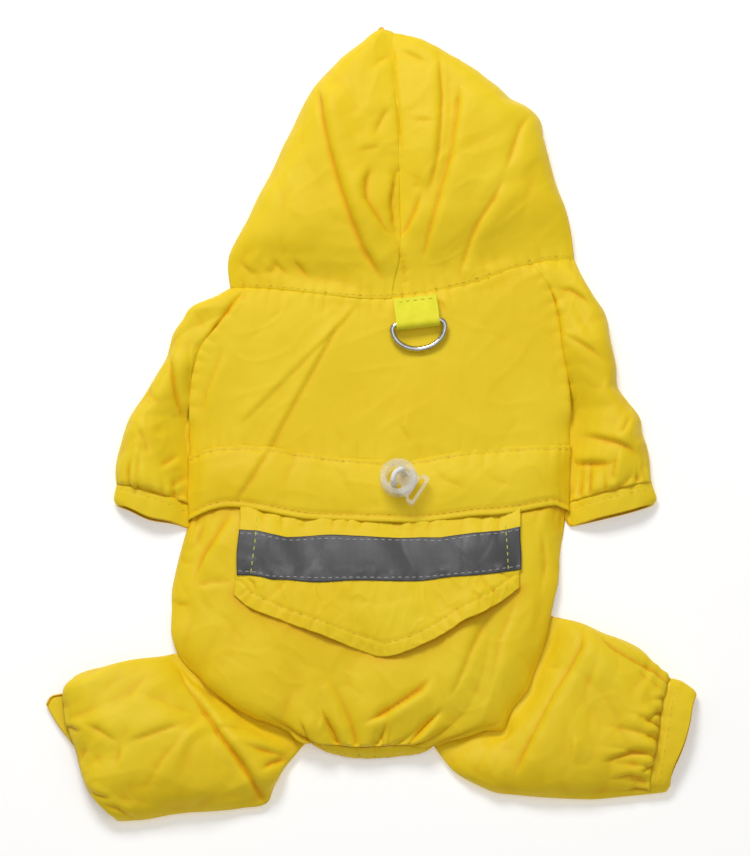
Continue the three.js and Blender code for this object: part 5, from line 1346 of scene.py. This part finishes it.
TAPE_ABOVE_FLAP = 0.42
tape_form = []
for down in np.linspace(0, 1, 13):
    row = []
    left = mix(TAPE_TOP[0, 0], TAPE_BOTTOM[0, 0], down)
    right = mix(TAPE_TOP[-1, 0], TAPE_BOTTOM[-1, 0], down)
    for share in np.linspace(0, 1, 65):
        x = mix(left, right, share)
        y = mix(height_of(TAPE_TOP, x), height_of(TAPE_BOTTOM, x), down)
        inside = min(max(x, FLAP_LEFT_TOP + 1.0), FLAP_BOTTOM[-1, 0] - 1.0)
        place, _ = on_surface(["pocket_flap_cloth"], inside, y)
        row.append((x, y, place.z + TAPE_ABOVE_FLAP))
    tape_form.append(row)
tape_form = np.array(tape_form)


def tape_relief(x, y, across, run):
    return 0.8 * creases(TAPE_CREASES, x, y)


cloth("reflective_tape_sheet", "reflective_tape", tape_form, tape_relief, spacing=0.7,
      thickness=0.3, material=reflective_grey, allowance=0)


# Stitches

def capsule(centre, forward, normal, length, radius):
    """Points and faces of one stitch: a short thread that dips into the cloth at its ends."""
    side = normal.cross(forward).normalized()
    points, sides, rings = [], 6, 5
    for k in range(rings):
        t = 2 * k / (rings - 1) - 1
        thick = radius * (1 - 0.55 * t ** 4)
        middle = centre + forward * (t * length / 2) + normal * (radius * (0.5 - 1.7 * t * t))
        for s in range(sides):
            angle = 2 * math.pi * s / sides
            points.append(middle + side * (thick * math.cos(angle))
                          + normal * (thick * 0.8 * math.sin(angle)))
    return points, capped_rings(rings, sides, False)


STITCH_SHARE = 0.74            # a stitch's length over the stitches' pitch


def stitches(name, lines, names, material, pitch=3.0, radius=0.2):
    """Rows of stitches laid on the cloth under each line."""
    points, faces = [], []
    for line in lines:
        line = np.asarray(line, float)
        length = np.concatenate([[0], np.cumsum(np.linalg.norm(np.diff(line, axis=0), axis=1))])
        count = max(1, int(length[-1] / pitch))
        for k in range(count):
            ends = []
            for at in (k + 0.5 - STITCH_SHARE / 2, k + 0.5 + STITCH_SHARE / 2):
                s = at * length[-1] / count
                x, y = (float(np.interp(s, length, line[:, axis])) for axis in (0, 1))
                ends.append(on_surface(names, x, y))
            if ends[0] is None or ends[1] is None or (ends[0][0] - ends[1][0]).length > 1.6 * pitch:
                continue
            forward = ends[1][0] - ends[0][0]
            if forward.length < 0.2:
                continue
            made, round_it = capsule((ends[0][0] + ends[1][0]) / 2, forward.normalized(),
                                     (ends[0][1] + ends[1][1]).normalized(), forward.length, radius)
            faces += [tuple(len(points) + i for i in face) for face in round_it]
            points += [tuple(p) for p in made]
    obj = mesh_object(name, points, faces)
    return finish_piece(obj, "coat", material)


def shifted(line, off):
    """A line moved sideways, to its left for off above 0."""
    line = np.asarray(line, float)
    way = np.gradient(line, axis=0)
    way /= np.linalg.norm(way, axis=1, keepdims=True)
    return line + off * np.stack([-way[:, 1], way[:, 0]], 1)


def smoothed(line, count=60):
    line = np.asarray(line, float)
    fine = np.linspace(0, len(line) - 1, count)
    return at_places(line[:, None, :], fine)[:, 0]


tape_top = smoothed(TAPE_TOP, 50) - (0, 1.5)
tape_bottom = smoothed(TAPE_BOTTOM, 50) + (0, 1.5)
on_flap = ["pocket_flap_cloth", "reflective_tape_sheet"]
stitches("tape_stitches", [tape_top, tape_bottom], on_flap, white_thread)
stitches("flap_side_stitches", [
    line_px(257, 514, 13,  256, 535, 13,  251, 574, 13, of=3),
    line_px(505, 522, 13,  507, 546, 13,  508, 570, 13, of=3),
], on_flap, lime_thread, radius=0.24)


def yellow_stitches(name, lines, names, radius=0.16):
    stitches(name, lines, names, yellow_thread, radius=radius)


flap_row = shifted(smoothed(FLAP_BOTTOM, 80), FLAP_HEM)
yellow_stitches("flap_hem_stitches", [flap_row[5:-5]], ["pocket_flap_cloth"], 0.17)
yellow_stitches("neck_stitches", [shifted(smoothed(NECK_LINE, 90), 1.6)[2:-2]], [
    "back_upper_cloth", "hood_left_cloth", "hood_right_cloth", "sleeve_left_cloth", "sleeve_right_cloth",
    "waistband_cloth"])
band_top, band_low = [at_places(edge.swapaxes(0, 1), np.linspace(0.6, 23.4, 80))[:, 0, :2]
                      for edge in (band_form[:1], band_form[-1:])]
yellow_stitches("waistband_stitches", [band_top - (0, 2.0), band_low + (0, 3.2)], ["waistband_cloth"])
# A cuff's stitches run across its upper layer, at a fractional row
yellow_stitches("cuff_stitches", [
    smoothed(at_places(form, np.array([1.7]))[0][1:CUFF_UPPER, :2], 40) for form in cuff_forms.values()
], list(cuff_forms))
yellow_stitches("tail_stitches", [smoothed(tail_form[1][1:-1, :2], 40)], ["tail_hem_cloth"])


# The leash loop, the D-ring, the cord lock and the draw cord

def placed(points, place, turn, tilt=0.0):
    """Points of a hard piece turned and moved to where the source puts it, in the tables' millimetres."""
    matrix = Matrix.Translation(place) @ Matrix.Rotation(turn, 4, "Z") @ Matrix.Rotation(tilt, 4, "X")
    return [tuple(matrix @ Vector(p)) for p in points]


def loop_piece():
    inner = RING_WIRE / 2 + 0.36
    middle = inner + WEBBING / 2
    closed = 0.18 + WEBBING / 2
    path = [(LOOP_LENGTH * (1 - t), mix(closed, middle, smooth(t))) for t in np.linspace(0, 1, 24)]
    path += [(-middle * math.sin(a), middle * math.cos(a)) for a in np.linspace(0, math.pi, 26)[1:-1]]
    path += [(LOOP_LENGTH * t, -mix(middle, closed, smooth(t))) for t in np.linspace(0, 1, 24)]
    points, rows, columns = [], len(path), 40
    for k, (along, high) in enumerate(path):
        for i in range(columns + 1):
            share = 2 * i / columns - 1
            points.append((share * WEBBING_WIDTH / 2, along, high))
    obj = mesh_object("leash_loop_webbing", placed(points, BAR, LOOP_TURN, -LOOP_TILT),
                      grid_faces(rows, columns + 1, False))
    solid = obj.modifiers.new("thickness", "SOLIDIFY")
    solid.thickness = WEBBING * MM
    solid.offset = 0
    bevelled(obj, 0.22, 2, 30)
    finish_piece(obj, "coat", neon_webbing, ["leash_loop"])
    surfaces["loop"] = BVHTree.FromPolygons(
        [tuple(p) for p in placed([(x, y, z + (WEBBING / 2 if k < len(points) / 2 else 0))
                                   for k, (x, y, z) in enumerate(points)], BAR, LOOP_TURN, -LOOP_TILT)],
        grid_faces(rows, columns + 1, False))
    return obj


def tube_mesh(centres, radius, sides, closed, shape=lambda k, angle: 1.0):
    """Rings of points round a line, and their faces. shape gives the radius's factor there."""
    count = len(centres)
    rings, side = [], Vector((0, 0, 1))
    for k, centre in enumerate(centres):
        after = centres[(k + 1) % count if closed else min(k + 1, count - 1)]
        before = centres[(k - 1) % count if closed else max(k - 1, 0)]
        forward = (Vector(after) - Vector(before)).normalized()
        side = (side - forward * side.dot(forward)).normalized()
        other = forward.cross(side)
        for s in range(sides):
            angle = 2 * math.pi * s / sides
            r = radius * shape(k, angle)
            rings.append(tuple(Vector(centre) + side * (r * math.cos(angle)) + other * (r * math.sin(angle))))
    if not closed:
        return rings, capped_rings(count, sides, True)
    return rings, [tuple(i % len(rings) for i in face) for face in grid_faces(count + 1, sides, True, True)]


def ring_piece():
    half = (RING_INSIDE + RING_WIRE) / 2
    centres = []

    def arc(count, centre_x, start, end, a, b):
        for angle in np.linspace(start, end, count, endpoint=False):
            centres.append((centre_x + a * math.cos(angle), -RING_CORNER + b * math.sin(angle), 0))

    arc(10, half - RING_CORNER, math.pi / 2, 0, RING_CORNER, RING_CORNER)
    arc(60, 0, 0, -math.pi, half, RING_REACH - RING_CORNER)
    arc(10, RING_CORNER - half, math.pi, math.pi / 2, RING_CORNER, RING_CORNER)
    bar = half - RING_CORNER
    centres.extend((x, 0, 0) for x in np.linspace(-bar, bar, 24, endpoint=False))
    points, faces = tube_mesh(centres, RING_WIRE / 2, 24, True)
    obj = mesh_object("d_ring_wire", placed(points, BAR, LOOP_TURN, RING_TILT), faces)
    return finish_piece(obj, "ring", nickel_plate, ["d_ring"])


def rounded_block(length, width, height, radius, steps=8):
    """Points and faces of a block with rounded corners in plan."""
    outline = []
    for sx, sy, start in ((1, 1, 0), (-1, 1, 90), (-1, -1, 180), (1, -1, 270)):
        for k in range(steps + 1):
            angle = math.radians(start + 90 * k / steps)
            outline.append((sx * (length / 2 - radius) + radius * math.cos(angle),
                            sy * (width / 2 - radius) + radius * math.sin(angle)))
    points = [(x, y, z) for z in (-height / 2, height / 2) for x, y in outline]
    return points, capped_rings(2, len(outline), False)


def circle(radius, sides):
    return [(radius * math.cos(2 * math.pi * s / sides), radius * math.sin(2 * math.pi * s / sides))
            for s in range(sides)]


def moved(points, dx, dy=0.0):
    return [(x + dx, y + dy, z) for x, y, z in points]


def combine(obj, other, operation):
    """Joins another closed object to one, or cuts it out of it, for good."""
    change = obj.modifiers.new("change", "BOOLEAN")
    change.operation = operation
    change.solver = "EXACT"
    change.object = other
    bpy.context.view_layer.update()
    made = bpy.data.meshes.new_from_object(obj.evaluated_get(bpy.context.evaluated_depsgraph_get()))
    obj.modifiers.clear()
    obj.data = made
    bpy.data.objects.remove(other)


def carve(obj, cutters):
    for k, (points, faces) in enumerate(cutters):
        combine(obj, mesh_object(f"cutter_{k}", points, faces), "DIFFERENCE")


def cord_hole(y, sides=32):
    """A round bar that cuts a hole for the cord right through the lock."""
    high = LOCK_HEIGHT / 2 + 1
    return [(cx, y + cy, z) for z in (-high, high) for cx, cy in circle(CORD_HOLE / 2, sides)], \
        capped_rings(2, sides, False)


def in_lock(shape):
    points, faces = shape
    return placed(points, LOCK, LOCK_TURN), faces


def bevelled(obj, width, segments, angle=40):
    bevel = obj.modifiers.new("edges", "BEVEL")
    bevel.width = width * MM
    bevel.segments = segments
    bevel.limit_method = "ANGLE"
    bevel.angle_limit = math.radians(angle)


def housing_piece():
    radius, high = LOCK_WIDTH / 2, LOCK_HEIGHT / 2
    profile = [
        (0, high - 1.5), (radius * 0.60, high - 1.4), (radius * 0.66, high - 0.5), (radius * 0.74, high)]
    profile += [(radius - 0.9 + 0.9 * math.sin(a), high - 0.9 + 0.9 * math.cos(a))
                for a in np.linspace(0, math.pi / 2, 7)]
    profile += [(x, -z) for x, z in profile[::-1]]
    sides = 72
    points = [(px, py, z) for x, z in profile[1:-1] for px, py in circle(x, sides)]
    obj = mesh_object("lock_housing_body", *in_lock((points, capped_rings(len(profile) - 2, sides, True))))
    room, back = 0.72, -(CORD / 2 + 0.36 + 0.9 + 2.0 + 0.36)
    length = radius - back + 1
    cavity_points, cavity_faces = rounded_block(length, BUTTON["width"] + room, BUTTON["height"] + room, 1.0)
    cavity = in_lock((moved(cavity_points, back + length / 2), cavity_faces))
    holes = [in_lock(cord_hole(side * CORD_SPACING / 2)) for side in (-1, 1)]
    carve(obj, [cavity, *holes])
    obj.data.polygons.foreach_set("use_smooth", [False] * len(obj.data.polygons))
    bevelled(obj, 0.15, 2)
    return finish_piece(obj, "coat", clear_moulding, ["lock_housing"])


HEAD_WIDTH, HEAD_BACK = 14.2, 8.0


def button_piece():
    back, front = -BUTTON["back"], LOCK_WIDTH / 2 + BUTTON["out"] - 1.3
    points, faces = rounded_block(front - back, BUTTON["width"], BUTTON["height"], 1.4)
    obj = mesh_object("lock_button_body", *in_lock((moved(points, (front + back) / 2), faces)))
    head_points, head_faces = rounded_block(front - HEAD_BACK, HEAD_WIDTH, BUTTON["height"], 1.2)
    head = mesh_object("head", *in_lock((moved(head_points, (front + HEAD_BACK) / 2), head_faces)))
    combine(obj, head, "UNION")
    slots = []
    for side in (-1, 1):
        slot_points, slot_faces = rounded_block(4.72, 2.72, BUTTON["height"] + 2, 1.0)
        slots.append(in_lock((moved(slot_points, 1.0, side * CORD_SPACING / 2), slot_faces)))
    window_points, window_faces = rounded_block(2.5, HEAD_WIDTH - 3.0, BUTTON["height"] + 2, 0.7)
    slots.append(in_lock((moved(window_points, front - 2.5), window_faces)))
    carve(obj, slots)
    obj.data.polygons.foreach_set("use_smooth", [False] * len(obj.data.polygons))
    bevelled(obj, 0.25, 3)
    return finish_piece(obj, "button", clear_moulding, ["lock_button"])


# The draw cord's line: through the casing, up out of it, over the lock, and down again
CORD_LINE = [
    (-70.0, -29.6, 5.6), (-62.2, -30.0, 6.8), (-46.9, -30.5, 8.3), (-28.2, -30.7, 9.0), (-7.4, -30.3, 9.3),
    (3.4, -29.8, 9.4), (8.0, -28.3, 9.4), (9.4, -28.3, 9.9), (10.0, -28.3, 11.4), (10.0, -28.3, 15.2),
    (10.0, -28.3, 19.1), (9.6, -27.2, 21.0), (10.5, -24.5, 21.75), (12.7, -22.7, 21.0), (13.8, -22.5, 19.1),
    (13.8, -22.5, 15.2), (13.8, -22.5, 11.3), (14.4, -22.5, 9.9), (15.8, -22.5, 9.3), (24.8, -28.4, 9.3),
    (44.7, -26.5, 8.7), (61.8, -24.5, 7.6), (76.0, -22.4, 5.8),
]


def cord_piece():
    line = np.array(CORD_LINE)
    fine = even_places(line, 0.3)
    centres = at_places(line[:, None, :], fine)[:, 0]

    def braid(k, angle):
        return 1 + 0.07 * math.cos(4 * angle + 1.1 * k) * math.cos(4 * angle - 1.1 * k)

    points, faces = tube_mesh([tuple(p) for p in centres], 1.16 * CORD / 2, 16, False, braid)
    obj = mesh_object("draw_cord_braid", points, faces)
    return finish_piece(obj, "coat", white_braid, ["draw_cord"])


loop_piece()
ring_piece()
housing_piece()
button_piece()
cord_piece()
loop_ends = placed([(-8.2, LOOP_LENGTH - 1.6, 0), (8.2, LOOP_LENGTH - 1.6, 0)], BAR, LOOP_TURN)
stitches("loop_stitches", [[(x, y) for x, y, _ in loop_ends]], ["loop"], webbing_thread,
         pitch=2.8, radius=0.24)


# The floor, the light and the camera

floor_look, _ = clouded("pale_floor", 3, 2, (0.90, 0.90, 0.90), (0.92, 0.92, 0.92), 0.3, {
    "Roughness": 0.9, "Specular IOR Level": 0.1,
    "Emission Color": (1.0, 0.99, 0.98, 1), "Emission Strength": 0.24})
FLOOR_HALF = 4000
FLOOR_LEVEL = -0.02             # just under the cloth, which never touches it
floor_corners = [
    (x * FLOOR_HALF, y * FLOOR_HALF, FLOOR_LEVEL) for x, y in ((-1, -1), (1, -1), (1, 1), (-1, 1))]
floor = mesh_object("floor", floor_corners, [(0, 1, 2, 3)])
floor.data.materials.append(floor_look.material)

world = bpy.data.worlds.new("studio")
world.use_nodes = True
sky, sky_links = world.node_tree.nodes, world.node_tree.links
upward = sky.new("ShaderNodeSeparateXYZ")
sky_links.new(sky.new("ShaderNodeTexCoord").outputs["Generated"], upward.inputs[0])
brighter = sky.new("ShaderNodeMapRange")
for name, value in (("From Min", 0.0), ("From Max", 0.7), ("To Min", 0.08), ("To Max", 0.46)):
    brighter.inputs[name].default_value = value
sky_links.new(upward.outputs["Z"], brighter.inputs["Value"])
sky["Background"].inputs["Color"].default_value = (1.0, 0.99, 0.975, 1)
sky_links.new(brighter.outputs["Result"], sky["Background"].inputs["Strength"])
bpy.context.scene.world = world


def soft_light(name, place, size, power):
    data = bpy.data.lights.new(name, "AREA")
    data.shape = "RECTANGLE"
    data.size, data.size_y = size
    data.energy = power
    obj = bpy.data.objects.new(name, data)
    bpy.context.scene.collection.objects.link(obj)
    obj.location = place
    obj.rotation_euler = (-Vector(place)).to_track_quat("-Z", "Y").to_euler()


soft_light("top_softbox", (-0.35, 1.05, 1.15), (0.7, 0.5), 14.6)
soft_light("overhead", (0.3, -0.2, 1.9), (1.2, 1.2), 3.8)

CAMERA_TARGET = Vector((1.84 * MM, -1.35 * MM, 0))
CAMERA_DISTANCE = 9.0
SHOWN_HEIGHT = 0.3722
camera_data = bpy.data.cameras.new("camera")
camera_data.sensor_width = 36
camera_data.lens = 36 * CAMERA_DISTANCE / SHOWN_HEIGHT
camera_data.clip_start = 0.5
camera_data.clip_end = 60
camera = bpy.data.objects.new("camera", camera_data)
bpy.context.scene.collection.objects.link(camera)
camera.location = CAMERA_TARGET + CAMERA_DISTANCE * Vector((0, -math.cos(ELEVATION), math.sin(ELEVATION)))
camera.rotation_euler = (CAMERA_TARGET - camera.location).to_track_quat("-Z", "Y").to_euler()
bpy.context.scene.camera = camera
bpy.context.scene.view_settings.view_transform = "Standard"
